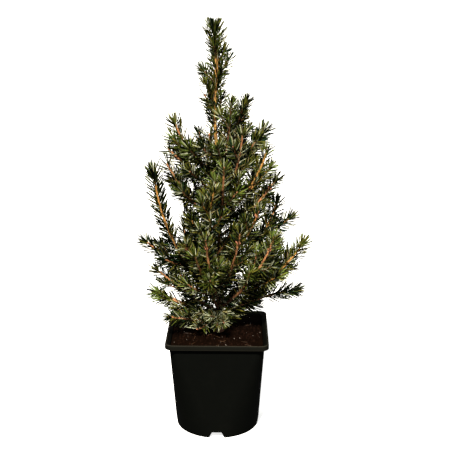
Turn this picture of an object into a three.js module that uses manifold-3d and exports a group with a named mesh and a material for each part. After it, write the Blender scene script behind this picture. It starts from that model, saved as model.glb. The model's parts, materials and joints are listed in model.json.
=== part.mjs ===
// A young spruce in a black nursery pot that is square at the rim and round at the foot, filled with peat.
// Millimetres, +Z up. The origin is the middle of the pot's flat underside, and the viewer stands on the -Y side.

import * as THREE from "three";
import { mergeVertices } from "three/addons/utils/BufferGeometryUtils.js";
import Module from "manifold-3d";

const wasm = await Module();
wasm.setup();

// The pot: a thin moulded shell whose rim turns down, on a flat foot with a raised drainage channel round it
const pot = {
  height: 151,
  rimWidth: 150,
  rimDrop: 7,
  bodyWidth: 138, // across the flats, just under the rim
  footWidth: 124, // across the round foot
  wall: 1.5,
  cornerRadius: 11,
  channelHeight: 9.5,
  channelInner: 38,
  channelOuter: 59.5,
  notchTop: 14,
  notchFoot: 24,
  notchCount: 4,
  drainHole: 8,
  drainHoles: 8,
};

// The peat stops a little under the rim, and its top is uneven except where the trunk stands
const peat = { belowRim: 4.5, bumps: 1.4, flatRadius: 16 };

const peatTop = pot.height - peat.belowRim;

// Touching solids keep this gap
const seat = 0.3;

// The trunk: its centre line as offsets from the pot's axis at heights above the floor, and its thickness
const trunk = {
  top: 600,
  footRadius: 5.4,
  topRadius: 1.0,
  flare: 3,
  flareHeight: 9,
  line: [
    [2, 0, 150],
    [2.6, -1, 230],
    [2, 0, 310],
    [0.5, 1, 385],
    [-4, 1, 462],
    [-3.6, 0, 505],
    [-2, -1, 545],
    [-5, 0, 585],
    [-6.5, 0, 604],
  ],
};

// Foliage: needles are drawn a little larger than life and set on three-sided shoots
const foliage = {
  needleLength: 16.5,
  needlePitch: 8, // along the shoot, between rings of three needles
  stemRadius: 2.1,
  tipRadius: 1.2,
  twigRadius: 1.5,
  firstTwig: 36, // from the tip of a shoot back to its first side twig
  twigPitch: 28,
  twigShare: 0.46, // length of a side twig against its distance from the shoot's tip
  longestTwig: 58,
  shortestTwig: 20,
  twigRoom: 3, // radius that a side twig needs free
  forkAngle: 46,
  clearance: 0.8, // to other masses, limbs and the trunk
  overlap: 0.7, // that two shoots of one mass may have
};

// The boughs: height of the foot on the trunk, compass turn from +X, reach from the pot's axis and height of the
// furthest needles, and how far the limb bends upwards and swings round. A bare share at the foot is its own limb, the rest
// carries needles, and a clean share at the tip has no side twigs.
const boughs = [
  { name: "left_tall", foot: 196, turn: 186, reach: 100, tip: 402, bend: 21, bare: 0.2, clean: 0.6 },
  { name: "left_fork", foot: 216, turn: 174, reach: 115, tip: 290, bend: 4, bare: 0.25 },
  { name: "left_low", foot: 176, turn: 183, reach: 98, tip: 252, bend: 6, bare: 0.25 },
  { name: "left_flat", foot: 164, turn: 172, reach: 103, tip: 206, bend: -3, bare: 0.25 },
  { name: "left_upper", foot: 305, turn: 194, reach: 80, tip: 412, bend: 10, bare: 0.2 },
  { name: "right_long", foot: 196, turn: 356, reach: 132, tip: 297, bend: 23, bare: 0.22 },
  { name: "right_flat", foot: 172, turn: 12, reach: 129, tip: 203, bend: -9, bare: 0.22 },
  { name: "right_fork", foot: 238, turn: 7, reach: 93, tip: 350, bend: 24, bare: 0.22 },
  { name: "right_upper", foot: 293, turn: 350, reach: 94, tip: 391, bend: 11, bare: 0.2 },
  { name: "right_high", foot: 320, turn: 342, reach: 79, tip: 433, bend: 18, bare: 0.2 },
  { name: "front_left", foot: 178, turn: 246, reach: 84, tip: 293, bend: 3, bare: 0.2 },
  { name: "front_mid", foot: 190, turn: 258, reach: 80, tip: 321, bend: 15, bare: 0.2 },
  { name: "front_right", foot: 203, turn: 296, reach: 79, tip: 326, bend: 14, bare: 0.2 },
  { name: "front_right_long", foot: 183, turn: 327, reach: 102, tip: 314, bend: 17, bare: 0.2 },
  { name: "back_right", foot: 188, turn: 36, reach: 118, tip: 272, bend: 9, bare: 0.22 },
  { name: "back_low", foot: 180, turn: 80, reach: 100, tip: 280, bend: 10, bare: 0.2 },
  { name: "back_left", foot: 190, turn: 118, reach: 98, tip: 276, bend: 10, bare: 0.2 },
  { name: "left_front_low", foot: 158, turn: 207, reach: 87, tip: 183, bend: 0 },
  { name: "left_high", foot: 344, turn: 192, reach: 78, tip: 432, bend: -6 },
  { name: "left_top", foot: 382, turn: 184, reach: 66, tip: 474, bend: 19 },
  { name: "left_back_high", foot: 372, turn: 138, reach: 42, tip: 449, bend: 8 },
  { name: "left_back_mid", foot: 318, turn: 160, reach: 62, tip: 412, bend: 8 },
  { name: "left_front_mid", foot: 216, turn: 229, reach: 76, tip: 302, bend: 6 },
  { name: "front_skirt", foot: 162, turn: 290, reach: 58, tip: 168, bend: -4 },
  { name: "front_centre", foot: 226, turn: 266, reach: 68, tip: 386, bend: 12, swing: -14 },
  { name: "front_upper", foot: 298, turn: 280, reach: 58, tip: 415, bend: 10 },
  { name: "front_high", foot: 386, turn: 254, reach: 46, tip: 458, bend: 8 },
  { name: "front_tall", foot: 342, turn: 311, reach: 31, tip: 502, bend: 4 },
  { name: "front_right_mid", foot: 246, turn: 322, reach: 80, tip: 350, bend: 13 },
  { name: "front_right_high", foot: 334, turn: 318, reach: 51, tip: 459, bend: 14 },
  { name: "right_top", foot: 378, turn: 7, reach: 76, tip: 461, bend: 9 },
  { name: "right_crown", foot: 410, turn: 18, reach: 49, tip: 498, bend: 12 },
  { name: "back_right_low", foot: 163, turn: 42, reach: 92, tip: 182, bend: 0 },
  { name: "back_right_mid", foot: 262, turn: 52, reach: 94, tip: 358, bend: 8 },
  { name: "back_left_low", foot: 170, turn: 145, reach: 95, tip: 216, bend: 2 },
  { name: "back_left_mid", foot: 252, turn: 138, reach: 78, tip: 324, bend: 10 },
  { name: "back_mid", foot: 286, turn: 98, reach: 84, tip: 384, bend: 10 },
  { name: "back_high", foot: 362, turn: 68, reach: 61, tip: 448, bend: 8 },
  { name: "back_crown", foot: 428, turn: 104, reach: 37, tip: 500, bend: 6 },
];

// Forks that a bough carries, each leaving it at a share of its length, with a reach and a tip of its own
const forks = [
  { on: "left_low", at: 0.5, turn: 187, reach: 90, tip: 229, bend: 0 },
  { on: "left_top", at: 0.3, turn: 189, reach: 72, tip: 446, bend: 6 },
  { on: "right_fork", at: 0.62, turn: 5, reach: 119, tip: 329, bend: 4 },
  { on: "right_top", at: 0.35, turn: 2, reach: 67, tip: 437, bend: 6 },
  { on: "right_high", at: 0.45, turn: 346, reach: 84, tip: 409, bend: 6 },
  { on: "back_left_mid", at: 0.4, turn: 157, reach: 58, tip: 340, bend: 8 },
  { on: "front_skirt", at: 0.34, turn: 254, reach: 48, tip: 158, bend: -6 },
];

// The leader's foliage sheathes the top of the trunk and carries short side shoots
const leader = {
  foot: 456,
  top: 610,
  sheath: 1.5,
  sides: 6,
  rings: 14,
  shoots: [
    { foot: 472, turn: 178, reach: 23, tip: 508 },
    { foot: 516, turn: 176, reach: 27, tip: 541 },
    { foot: 524, turn: 352, reach: 20, tip: 557 },
    { foot: 546, turn: 12, reach: 13, tip: 573 },
    { foot: 484, turn: 262, reach: 22, tip: 521 },
    { foot: 500, turn: 78, reach: 20, tip: 534 },
    { foot: 535, turn: 118, reach: 17, tip: 566 },
    { foot: 552, turn: 236, reach: 14, tip: 578 },
    { foot: 564, turn: 352, reach: 11, tip: 598 },
  ],
};

const colours = {
  pot: { color: 0x0d0e0c, roughness: 0.45 },
  peat: { color: 0x1d120c, roughness: 1 },
  bark: { color: 0x8a5a35, roughness: 0.85 },
  shoot: { color: 0xa8652f, roughness: 0.8 },
  needles: { color: 0x3c4a22, roughness: 0.6 },
};

const up = new THREE.Vector3(0, 0, 1);
const radians = THREE.MathUtils.degToRad;

// Even numbers between 0 and 1, the same on every run
function randomFrom(seed) {
  let state = seed;
  return () => {
    state = (state * 16807) % 2147483647;
    return state / 2147483647;
  };
}

// A unit vector by compass turn and rise above level, in degrees
function heading(turn, rise) {
  const flat = Math.cos(radians(rise));
  return new THREE.Vector3(flat * Math.cos(radians(turn)), flat * Math.sin(radians(turn)), Math.sin(radians(rise)));
}

// A closed skin over rings of equal count. Where tipOf gives a point for a panel, the panel is drawn out to it.
function skin(rings, tipOf = () => null, endTip = null) {
  const count = rings[0].length;
  const corners = rings.flat();
  const faces = [];
  const at = (k, i) => k * count + (i % count);
  const fan = (loop, tip) => {
    corners.push(tip);
    loop.forEach((from, n) => faces.push(from, loop[(n + 1) % loop.length], corners.length - 1));
  };
  for (let k = 0; k < rings.length - 1; k++) {
    for (let i = 0; i < count; i++) {
      const panel = [at(k, i), at(k, i + 1), at(k + 1, i + 1), at(k + 1, i)];
      const tip = tipOf(panel.map((n) => corners[n]), k, i);
      if (tip) fan(panel, tip);
      else faces.push(panel[0], panel[1], panel[2], panel[0], panel[2], panel[3]);
    }
  }
  const last = rings.length - 1;
  for (let i = 1; i < count - 1; i++) faces.push(at(0, 0), at(0, i + 1), at(0, i));
  if (endTip) fan(Array.from({ length: count }, (_, i) => at(last, i)), endTip);
  else for (let i = 1; i < count - 1; i++) faces.push(at(last, 0), at(last, i), at(last, i + 1));
  return new THREE.BufferGeometry()
    .setAttribute("position", new THREE.Float32BufferAttribute(corners.flatMap((p) => p.toArray()), 3))
    .setIndex(faces);
}

// Rings round a run of centre points, each turned a little against the last, with a radius for each
function ringsAlong(points, radii, sides, twist = 0) {
  let across = new THREE.Vector3(0.31, 0.95, 0);
  return points.map((centre, k) => {
    const along = points[Math.min(k + 1, points.length - 1)].clone().sub(points[Math.max(k - 1, 0)]).normalize();
    across = across.clone().addScaledVector(along, -across.dot(along)).normalize();
    const beside = along.clone().cross(across);
    return Array.from({ length: sides }, (_, i) => {
      const angle = (2 * Math.PI * i) / sides + twist * k;
      return centre
        .clone()
        .addScaledVector(across, radii[k] * Math.cos(angle))
        .addScaledVector(beside, radii[k] * Math.sin(angle));
    });
  });
}

function solidOf(geometry) {
  const shape = geometry.clone();
  shape.deleteAttribute("normal");
  shape.deleteAttribute("uv");
  const merged = mergeVertices(shape, 1e-4);
  return new wasm.Manifold(
    new wasm.Mesh({
      numProp: 3,
      vertProperties: new Float32Array(merged.attributes.position.array),
      triVerts: new Uint32Array(merged.index.array),
    }),
  );
}

function geometryOf(solid) {
  const mesh = solid.getMesh();
  return new THREE.BufferGeometry()
    .setAttribute("position", new THREE.BufferAttribute(mesh.vertProperties, 3))
    .setIndex(new THREE.BufferAttribute(mesh.triVerts, 1));
}

// The largest of the pieces that a cut leaves
function mainPiece(solid) {
  return solid.decompose().reduce((a, b) => (a.volume() > b.volume() ? a : b));
}

const tree = new THREE.Group();
function place(name, solid, look) {
  const mesh = new THREE.Mesh(geometryOf(solid.simplify(0.02)), new THREE.MeshStandardMaterial(colours[look]));
  mesh.name = name;
  mesh.geometry.computeVertexNormals();
  tree.add(mesh);
}

// What each shoot and limb takes up, as tapering rods, so that twigs and needles keep out of one another
const taken = [];
function rod(owner, shoot, start, end, startRadius, endRadius) {
  const line = new THREE.Line3(start, end);
  const middle = line.getCenter(new THREE.Vector3());
  return { owner, shoot, line, startRadius, endRadius, middle, half: line.distance() / 2 };
}
const nearA = new THREE.Vector3();
const nearB = new THREE.Vector3();
function radiusAt(one, point) {
  const share = point.distanceTo(one.line.start) / Math.max(2 * one.half, 1e-6);
  return THREE.MathUtils.lerp(one.startRadius, one.endRadius, Math.min(share, 1));
}
function isFree(one, passes) {
  const widest = Math.max(one.startRadius, one.endRadius);
  return taken.every((other) => {
    if (passes(other)) return true;
    const clearance = other.owner === one.owner ? -foliage.overlap : foliage.clearance;
    const room = widest + Math.max(other.startRadius, other.endRadius) + clearance;
    if (one.middle.distanceTo(other.middle) > one.half + other.half + room) return true;
    const gap = Math.sqrt(one.line.distanceSqToLine3(other.line, nearA, nearB));
    return gap > radiusAt(one, nearA) + radiusAt(other, nearB) + clearance;
  });
}

// The bud and the needles at the end of a shoot are drawn as one point past its last ring
const tuft = foliage.needleLength * 0.7;
function budOf(points) {
  const [before, last] = points.slice(-2);
  return last.clone().addScaledVector(last.clone().sub(before).normalize(), tuft);
}
function takeAlong(owner, shoot, points, radii) {
  for (let k = 0; k < points.length - 1; k++) {
    taken.push(rod(owner, shoot, points[k], points[k + 1], radii[k], radii[k + 1]));
  }
}
function takeBud(owner, shoot, points) {
  taken.push(rod(owner, shoot, points.at(-1), budOf(points), foliage.tipRadius, 0.3));
}

// A round that is squared off towards the rim: radius gives the half width, and the corners tighten with height
const ringCorners = 8;
function squared(geometry) {
  const position = geometry.attributes.position;
  const side = ringCorners + 1;
  for (let n = 0; n < position.count; n++) {
    const half = Math.hypot(position.getX(n), position.getY(n));
    if (half < 0.01) continue;
    const height = position.getZ(n);
    const turn = Math.atan2(position.getY(n), position.getX(n));
    const step = Math.round((turn / (2 * Math.PI)) * 4 * side + 4 * side) % (4 * side);
    const quarter = Math.floor(step / side);
    const share = Math.min(height / (pot.height - pot.rimDrop), 1);
    const inset = Math.max(pot.rimWidth / 2 - half, 0) * 0.4;
    const radius = THREE.MathUtils.lerp(half - 0.3, Math.max(pot.cornerRadius - inset, 3), share);
    const angle = ((quarter + (step % side) / ringCorners) * Math.PI) / 2;
    const centre = (half - radius) * Math.SQRT2;
    const diagonal = ((quarter + 0.5) * Math.PI) / 2;
    position.setXY(
      n,
      centre * Math.cos(diagonal) + radius * Math.cos(angle),
      centre * Math.sin(diagonal) + radius * Math.sin(angle),
    );
  }
  return geometry;
}

// A profile of radius and height, turned about the pot's axis and squared
function turned(profile) {
  const points = profile.map(([radius, height]) => new THREE.Vector2(radius, height));
  const lathe = new THREE.LatheGeometry(points, 4 * (ringCorners + 1), Math.PI / 2);
  return solidOf(squared(lathe.rotateX(Math.PI / 2)));
}

function makePot() {
  const foot = pot.footWidth / 2;
  const body = pot.bodyWidth / 2;
  const rim = pot.rimWidth / 2;
  const lipFoot = pot.height - pot.rimDrop;
  const floor = pot.channelHeight + pot.wall;
  let shell = turned([
    [0, 0],
    [pot.channelInner, 0],
    [pot.channelInner + 2, pot.channelHeight],
    [pot.channelOuter - 2, pot.channelHeight],
    [pot.channelOuter, 0],
    [foot, 0],
    [foot + 1.1, floor],
    [body, pot.height - pot.wall],
    [rim - pot.wall, pot.height - pot.wall],
    [rim - pot.wall, lipFoot],
    [rim, lipFoot],
    [rim, pot.height],
    [body - pot.wall, pot.height],
    [THREE.MathUtils.lerp(foot, body, peatTop / pot.height) - pot.wall, peatTop],
    [foot + 1.1 - pot.wall, floor],
    [pot.channelInner + 2 - pot.wall, floor],
    [pot.channelInner - pot.wall, pot.wall],
    [0, pot.wall],
  ]);
  const notch = new THREE.Shape([
    new THREE.Vector2(-pot.notchFoot / 2, -1),
    new THREE.Vector2(pot.notchFoot / 2, -1),
    new THREE.Vector2(pot.notchTop / 2, pot.channelHeight),
    new THREE.Vector2(-pot.notchTop / 2, pot.channelHeight),
  ]);
  const depth = foot - pot.channelOuter + 8;
  for (let n = 0; n < pot.notchCount; n++) {
    const cutter = new THREE.ExtrudeGeometry(notch, { depth, bevelEnabled: false })
      .rotateX(Math.PI / 2)
      .translate(0, -(foot + 4 - depth), 0)
      .rotateZ((2 * Math.PI * n) / pot.notchCount);
    shell = shell.subtract(solidOf(cutter));
  }
  const holeCircle = (pot.channelInner + pot.channelOuter) / 2;
  for (let n = 0; n < pot.drainHoles; n++) {
    const drill = new THREE.CylinderGeometry(pot.drainHole / 2, pot.drainHole / 2, 8, 10)
      .rotateX(Math.PI / 2)
      .translate(holeCircle, 0, floor)
      .rotateZ((2 * Math.PI * (n + 0.5)) / pot.drainHoles);
    shell = shell.subtract(solidOf(drill));
  }
  return shell;
}

function makePeat() {
  const foot = pot.footWidth / 2 - pot.wall - seat;
  const body = pot.bodyWidth / 2 - pot.wall - seat;
  const floor = pot.channelHeight + pot.wall + seat;
  const topHalf = THREE.MathUtils.lerp(foot, body, peatTop / pot.height);
  const fill = turned([
    [0, pot.wall + seat],
    [pot.channelInner - pot.wall - seat, pot.wall + seat],
    [pot.channelInner + 2 - pot.wall - seat, floor],
    [foot + 1, floor],
    [topHalf, peatTop],
    [topHalf * 0.62, peatTop],
    [peat.flatRadius, peatTop],
    [0, peatTop],
  ]);
  const random = randomFrom(77);
  return fill.warp((point) => {
    const out = Math.max(Math.abs(point[0]), Math.abs(point[1]));
    if (point[2] > peatTop - 0.01 && out > peat.flatRadius + 1 && out < topHalf - 1) {
      point[2] += peat.bumps * (random() - 0.35);
    }
  });
}

// The trunk's centre line as a curve, and points on it by height
const trunkLine = new THREE.CatmullRomCurve3(trunk.line.map((p) => new THREE.Vector3(...p)));
const trunkSteps = 400;
const trunkPoints = trunkLine.getSpacedPoints(trunkSteps);
function trunkAt(height) {
  return trunkPoints.reduce((a, b) => (Math.abs(a.z - height) < Math.abs(b.z - height) ? a : b)).clone();
}
function trunkRadius(height) {
  const share = THREE.MathUtils.clamp((height - peatTop) / (trunk.top - peatTop), 0, 1);
  const flare = trunk.flare * Math.exp(-(height - peatTop) / trunk.flareHeight);
  return THREE.MathUtils.lerp(trunk.footRadius, trunk.topRadius, share ** 0.8) + flare;
}
function trunkRun(from, to, steps) {
  const heights = Array.from({ length: steps + 1 }, (_, k) => THREE.MathUtils.lerp(from, to, (k / steps) ** 1.35));
  return { points: heights.map((height) => trunkAt(height).setZ(height)), radii: heights.map(trunkRadius) };
}

// The trunk's solid, and the same a seat wider and longer at both ends, to cut its neighbours clear of it
const groundGap = peatTop + seat;
const trunkForm = trunkRun(groundGap, trunk.top, 16);
const trunkRings = ringsAlong(trunkForm.points, trunkForm.radii, 8);
trunkRings[0].forEach((corner) => corner.setZ(groundGap));
const trunkSolid = solidOf(skin(trunkRings));
const below = trunkForm.points[0].clone().addScaledVector(up, -8);
const above = trunkForm.points.at(-1).clone().addScaledVector(up, seat);
const clearRadii = trunkForm.radii.map((radius) => radius + (1.3 * seat) / Math.cos(Math.PI / 8));
const trunkSleeve = solidOf(
  skin(
    ringsAlong(
      [below, ...trunkForm.points, above],
      [clearRadii[0], ...clearRadii, clearRadii.at(-1)],
      8,
    ),
  ),
);

// A shoot's line: it leaves along one heading and ends along another
function shootCurve(start, leaving, arriving, length) {
  const knee = start.clone().addScaledVector(leaving, length / 2);
  const end = knee.clone().addScaledVector(arriving, length / 2);
  return new THREE.QuadraticBezierCurve3(start, knee, end);
}

// A bough's line from the trunk's middle, or a fork's from its bough, to its furthest needles, less those at its tip
function boughCurve({ foot, turn, reach, tip, bend = 6, swing = 0 }, start = trunkAt(foot)) {
  const chord = heading(turn, 0).multiplyScalar(reach).setZ(tip).sub(start);
  const along = chord.clone().normalize();
  const beside = along.clone().cross(up).normalize();
  const over = beside.clone().cross(along);
  const sway = over.multiplyScalar(Math.tan(radians(bend))).addScaledVector(beside, Math.tan(radians(swing)));
  const leaving = along.clone().sub(sway).normalize();
  const arriving = along.clone().add(sway).normalize();
  return shootCurve(start, leaving, arriving, (chord.length() - tuft) * Math.hypot(1, sway.length()));
}

// Points along part of a curve, a given pitch apart
function run(curve, from, to, pitch) {
  const steps = Math.max(2, Math.round((curve.getLength() * (to - from)) / pitch));
  return Array.from({ length: steps + 1 }, (_, k) => curve.getPoint(THREE.MathUtils.lerp(from, to, k / steps)));
}

// Side twigs by rule: they fork off left and right in turn, further back the longer, and bend forwards
function sideTwigs({ curve, from, bough, random }) {
  const length = curve.getLength();
  const twigs = [];
  let side = random() < 0.5 ? 0 : 180;
  const first = Math.max(foliage.firstTwig, (bough.clean ?? 0) * length);
  for (let back = first; back < length * (1 - from) - 8; back += foliage.twigPitch) {
    const share = 1 - back / length;
    const along = curve.getTangent(share);
    const beside = along.clone().cross(up).normalize();
    const over = beside.clone().cross(along);
    const roll = radians(side + 70 * (random() - 0.4));
    const fork = radians(foliage.forkAngle + 10 * (random() - 0.5));
    const leaving = along
      .clone()
      .multiplyScalar(Math.cos(fork))
      .addScaledVector(beside, Math.sin(fork) * Math.cos(roll))
      .addScaledVector(over, Math.sin(fork) * Math.sin(roll));
    const arriving = leaving.clone().addScaledVector(along, 0.5).addScaledVector(up, 0.3).normalize();
    const wanted = foliage.twigShare * back + 6 * random();
    const twigLength = Math.min(wanted, foliage.longestTwig);
    side += 180;
    if (twigLength >= foliage.shortestTwig) {
      twigs.push(shootCurve(curve.getPoint(share), leaving, arriving, twigLength));
    }
  }
  return twigs;
}

// A shoot clad in needles. A needle that would touch another shoot, a limb, the pot or the peat is left out.
function needledShoot({ owner, shoot, points, radii, sides = 3, dressed = () => true, carrier }, random) {
  const passes = (other) => other.shoot === shoot || other.owner === carrier;
  const rings = ringsAlong(points, radii, sides, 0.7);
  const end = points.length - 1;
  const tipOf = (panel, k, i) => {
    if (!dressed(k, i)) return null;
    const middle = panel.reduce((sum, p) => sum.add(p), new THREE.Vector3()).divideScalar(4);
    const axis = points[k].clone().add(points[k + 1]).divideScalar(2);
    const along = points[k + 1].clone().sub(points[k]).normalize();
    const outward = middle.clone().sub(axis);
    outward.addScaledVector(along, -outward.dot(along)).normalize();
    const nearTip = k / end;
    const lean = radians(THREE.MathUtils.lerp(64, 40, nearTip) + 14 * (random() - 0.5));
    const length = foliage.needleLength * (0.85 + 0.3 * random()) * (1 - 0.1 * nearTip);
    const tip = middle
      .clone()
      .addScaledVector(along, length * Math.cos(lean))
      .addScaledVector(outward, length * Math.sin(lean));
    const feet = [0.1, 0.37, 0.63, 0.9].map((share) => points[k].clone().lerp(points[k + 1], share).sub(axis).add(middle));
    const needle = feet.map((foot) => rod(owner, shoot, foot, tip, radii[k] * 0.9, 0.3));
    if (!needle.every((edge) => clearOfPot(edge) && isFree(edge, passes))) return null;
    taken.push(...needle);
    return tip;
  };
  return solidOf(skin(rings, tipOf, budOf(points)));
}

function clearOfPot({ line }) {
  return [line.start, line.end].every((p) => {
    const out = Math.max(Math.abs(p.x), Math.abs(p.y));
    if (out > pot.rimWidth / 2 + 3) return p.z > 4;
    return p.z > (out > pot.bodyWidth / 2 - 6 ? pot.height : peatTop + peat.bumps) + 0.8;
  });
}

function tapered(count, from, to) {
  return Array.from({ length: count }, (_, k) => THREE.MathUtils.lerp(from, to, k / (count - 1)));
}

place("pot", makePot(), "pot");
place("peat", makePeat(), "peat");
place("trunk", trunkSolid, "bark");
takeAlong("trunk", "trunk", trunkForm.points, trunkForm.radii);

// The limbs and the main stem of every mass are laid out first, so that no twig or needle takes their place
const masses = boughs.map((bough, index) => {
  const name = `foliage_${bough.name}`;
  const curve = boughCurve(bough);
  const bare = bough.bare ?? 0;
  if (bare) {
    const limb = `bough_${bough.name}`;
    const points = run(curve, 0, bare, 14);
    const radii = tapered(points.length, 2.9, 2.2);
    place(limb, mainPiece(solidOf(skin(ringsAlong(points, radii, 6))).subtract(trunkSleeve)), "bark");
    takeAlong(limb, limb, points, radii);
  }
  const from = bare ? bare + (1.6 * seat) / curve.getLength() : 0;
  const points = run(curve, from, 1, foliage.needlePitch);
  const stem = { owner: name, shoot: name, points, radii: tapered(points.length, foliage.stemRadius, foliage.tipRadius) };
  takeAlong(name, name, points, stem.radii);
  takeBud(name, name, points);
  return { name, curve, from, stem, bough, twigs: [], random: randomFrom(1000 + 37 * index) };
});

// Then the forks and the side twigs that have room
function addTwig(mass, curve) {
  const points = run(curve, 0, 1, foliage.needlePitch);
  const radii = tapered(points.length, foliage.twigRadius, foliage.tipRadius * 0.8);
  const twig = { owner: mass.name, shoot: `${mass.name}_${mass.twigs.length}`, points, radii };
  const hasRoom = [...points.slice(1), budOf(points)].every((point, k) => {
    const piece = rod(twig.owner, twig.shoot, points[k], point, foliage.twigRoom, foliage.twigRoom);
    return clearOfPot(piece) && isFree(piece, (other) => other.owner === mass.name);
  });
  if (!hasRoom) return;
  mass.twigs.push(twig);
  takeAlong(twig.owner, twig.shoot, points, radii);
  takeBud(twig.owner, twig.shoot, points);
}
for (const fork of forks) {
  const mass = masses.find(({ bough }) => bough.name === fork.on);
  addTwig(mass, boughCurve(fork, mass.curve.getPoint(fork.at)));
}
for (const mass of masses) sideTwigs(mass).forEach((curve) => addTwig(mass, curve));

function makeLeader() {
  const owner = "foliage_leader";
  const random = randomFrom(4242);
  const { points, radii } = trunkRun(leader.foot, trunk.top + 1, leader.rings);
  const sheath = {
    owner,
    shoot: owner,
    points,
    radii: radii.map((radius) => radius + leader.sheath),
    sides: leader.sides,
    dressed: (k, i) => k > leader.rings * 0.8 || (k + i) % 2 === 0,
    carrier: "trunk",
  };
  const twigs = leader.shoots.map((shoot, n) => {
    const points = run(boughCurve(shoot), 0, 1, foliage.needlePitch * 0.8);
    const radii = tapered(points.length, 1.6, foliage.tipRadius * 0.8);
    takeAlong(owner, `${owner}_${n}`, points.slice(1), radii.slice(1));
    takeBud(owner, `${owner}_${n}`, points);
    return { owner, shoot: `${owner}_${n}`, points, radii, carrier: "trunk" };
  });
  const whole = [sheath, ...twigs].map((shoot) => needledShoot(shoot, random)).reduce((a, b) => a.add(b));
  return mainPiece(whole.subtract(trunkSleeve));
}

// Last the needles
place("foliage_leader", makeLeader(), "needles");
for (const { name, stem, twigs, from, random } of masses) {
  const whole = [stem, ...twigs].map((shoot) => needledShoot(shoot, random)).reduce((a, b) => a.add(b));
  place(name, mainPiece(from ? whole : whole.subtract(trunkSleeve)), "needles");
}

export default tree;
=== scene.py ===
# A young spruce in a black nursery pot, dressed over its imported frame.
# Blender works in metres. Sizes below are in millimetres unless a note says otherwise, with +Z up and the
# viewer on -Y.
import json
import math

import bmesh
import bpy
import numpy as np
from mathutils import Matrix, Vector, noise

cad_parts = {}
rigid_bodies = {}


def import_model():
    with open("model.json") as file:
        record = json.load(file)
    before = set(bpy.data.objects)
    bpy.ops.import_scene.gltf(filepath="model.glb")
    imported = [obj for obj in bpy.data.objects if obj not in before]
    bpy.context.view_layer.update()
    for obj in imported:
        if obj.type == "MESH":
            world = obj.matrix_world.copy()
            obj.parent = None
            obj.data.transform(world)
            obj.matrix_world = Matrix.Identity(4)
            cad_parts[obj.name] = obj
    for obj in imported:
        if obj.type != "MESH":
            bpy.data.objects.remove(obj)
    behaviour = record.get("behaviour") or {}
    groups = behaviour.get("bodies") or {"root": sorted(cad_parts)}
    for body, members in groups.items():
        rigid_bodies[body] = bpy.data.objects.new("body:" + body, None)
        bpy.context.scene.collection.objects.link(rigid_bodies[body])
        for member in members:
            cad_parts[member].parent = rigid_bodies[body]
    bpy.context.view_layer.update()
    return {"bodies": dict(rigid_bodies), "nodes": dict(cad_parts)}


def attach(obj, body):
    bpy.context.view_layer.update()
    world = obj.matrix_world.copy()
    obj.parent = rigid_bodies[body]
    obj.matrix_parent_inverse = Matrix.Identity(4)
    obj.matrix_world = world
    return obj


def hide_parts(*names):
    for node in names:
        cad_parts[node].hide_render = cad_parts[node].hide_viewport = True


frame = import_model()
mm = 0.001
goldenTurn = 137.5  # degrees from one leaf to the next round a stem
up = Vector((0, 0, 1))


# Studio: the camera stands where the perspective of the photograph puts it
studio = {
    "cameraAt": (25.8, -1319.5, 663.9),
    "pitch": 15.11,  # degrees down
    "yaw": -0.54,
    "roll": 0.23,
    "lens": 74.17,
    "sensorWidth": 36,
    "floor": "#f5f5f3",
    "floorWidth": 60000,
    "floorGlow": 0.85,
    "skyColour": "#ffffff",
    "skyStrength": 0.112,
    "sunFrom": (-0.14, -0.85, 1.0),  # a soft light from high in front, a little to the left
    "sunSpread": 2,  # degrees across
    "sunStrength": 7.6,
    "sunColour": "#fffaf0",
    "lamps": [  # name, place, aims at, width, power in watts
        ("fillLamp", (1100, -1500, 900), (0, 0, 330), 700, 9),
        ("rimLamp", (-700, 1000, 1500), (0, 0, 350), 700, 9),
    ],
}


def toLinear(colour):
    # sRGB hex to the linear values that shaders work in
    parts = [int(colour[k : k + 2], 16) / 255 for k in (1, 3, 5)]
    return [c / 12.92 if c <= 0.04045 else ((c + 0.055) / 1.055) ** 2.4 for c in parts] + [1.0]


def addNode(tree, kind, settings=None, links=None, output=0):
    # One node: its settings by input or property name, what feeds it, and the output that is handed on.
    # A Mix node takes its colours at inputs 6 and 7 and gives one at output 2.
    node = tree.nodes.new("ShaderNode" + kind)
    for name, value in (settings or {}).items():
        if isinstance(name, int) or name in node.inputs:
            node.inputs[name].default_value = value
        else:
            setattr(node, name, value)
    for name, socket in (links or {}).items():
        tree.links.new(socket, node.inputs[name])
    return node.outputs[output]


def newMaterial(name, settings):
    material = bpy.data.materials.new(name)
    material.use_nodes = True
    tree = material.node_tree
    shader = tree.nodes["Principled BSDF"]
    for socket, value in settings.items():
        shader.inputs[socket].default_value = value
    return material, tree, shader


def keepPiece(name, mesh, material, replaced=(), smooth=True):
    # A finished mesh becomes an object at the origin that rides on the plant's one body
    piece = bpy.data.objects.new(name, mesh)
    bpy.context.scene.collection.objects.link(piece)
    mesh.materials.clear()
    mesh.materials.append(material)
    if smooth:
        mesh.shade_smooth()
    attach(piece, next(iter(frame["bodies"])))
    if replaced:
        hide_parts(*replaced)
    return piece


def meshFrom(bm, name):
    # Merges doubles, turns the faces outwards and takes the work from millimetres to metres
    bmesh.ops.remove_doubles(bm, verts=bm.verts, dist=0.01)
    bmesh.ops.recalc_face_normals(bm, faces=bm.faces)
    bmesh.ops.scale(bm, vec=(mm, mm, mm), verts=bm.verts)
    mesh = bpy.data.meshes.new(name)
    bm.to_mesh(mesh)
    bm.free()
    return mesh


def randomFrom(seed):
    # The same evenly spread random numbers as the part's source draws
    state = seed

    def draw():
        nonlocal state
        state = (state * 16807) % 2147483647
        return state / 2147483647

    return draw


def blend(start, end, share):
    return start + (end - start) * share


def limited(share):
    # Kept between 0 and 1
    return min(max(share, 0), 1)


def swell(place, middle, span):
    # A smooth hump, one high
    return math.exp(-(((place - middle) / span) ** 2))


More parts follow.
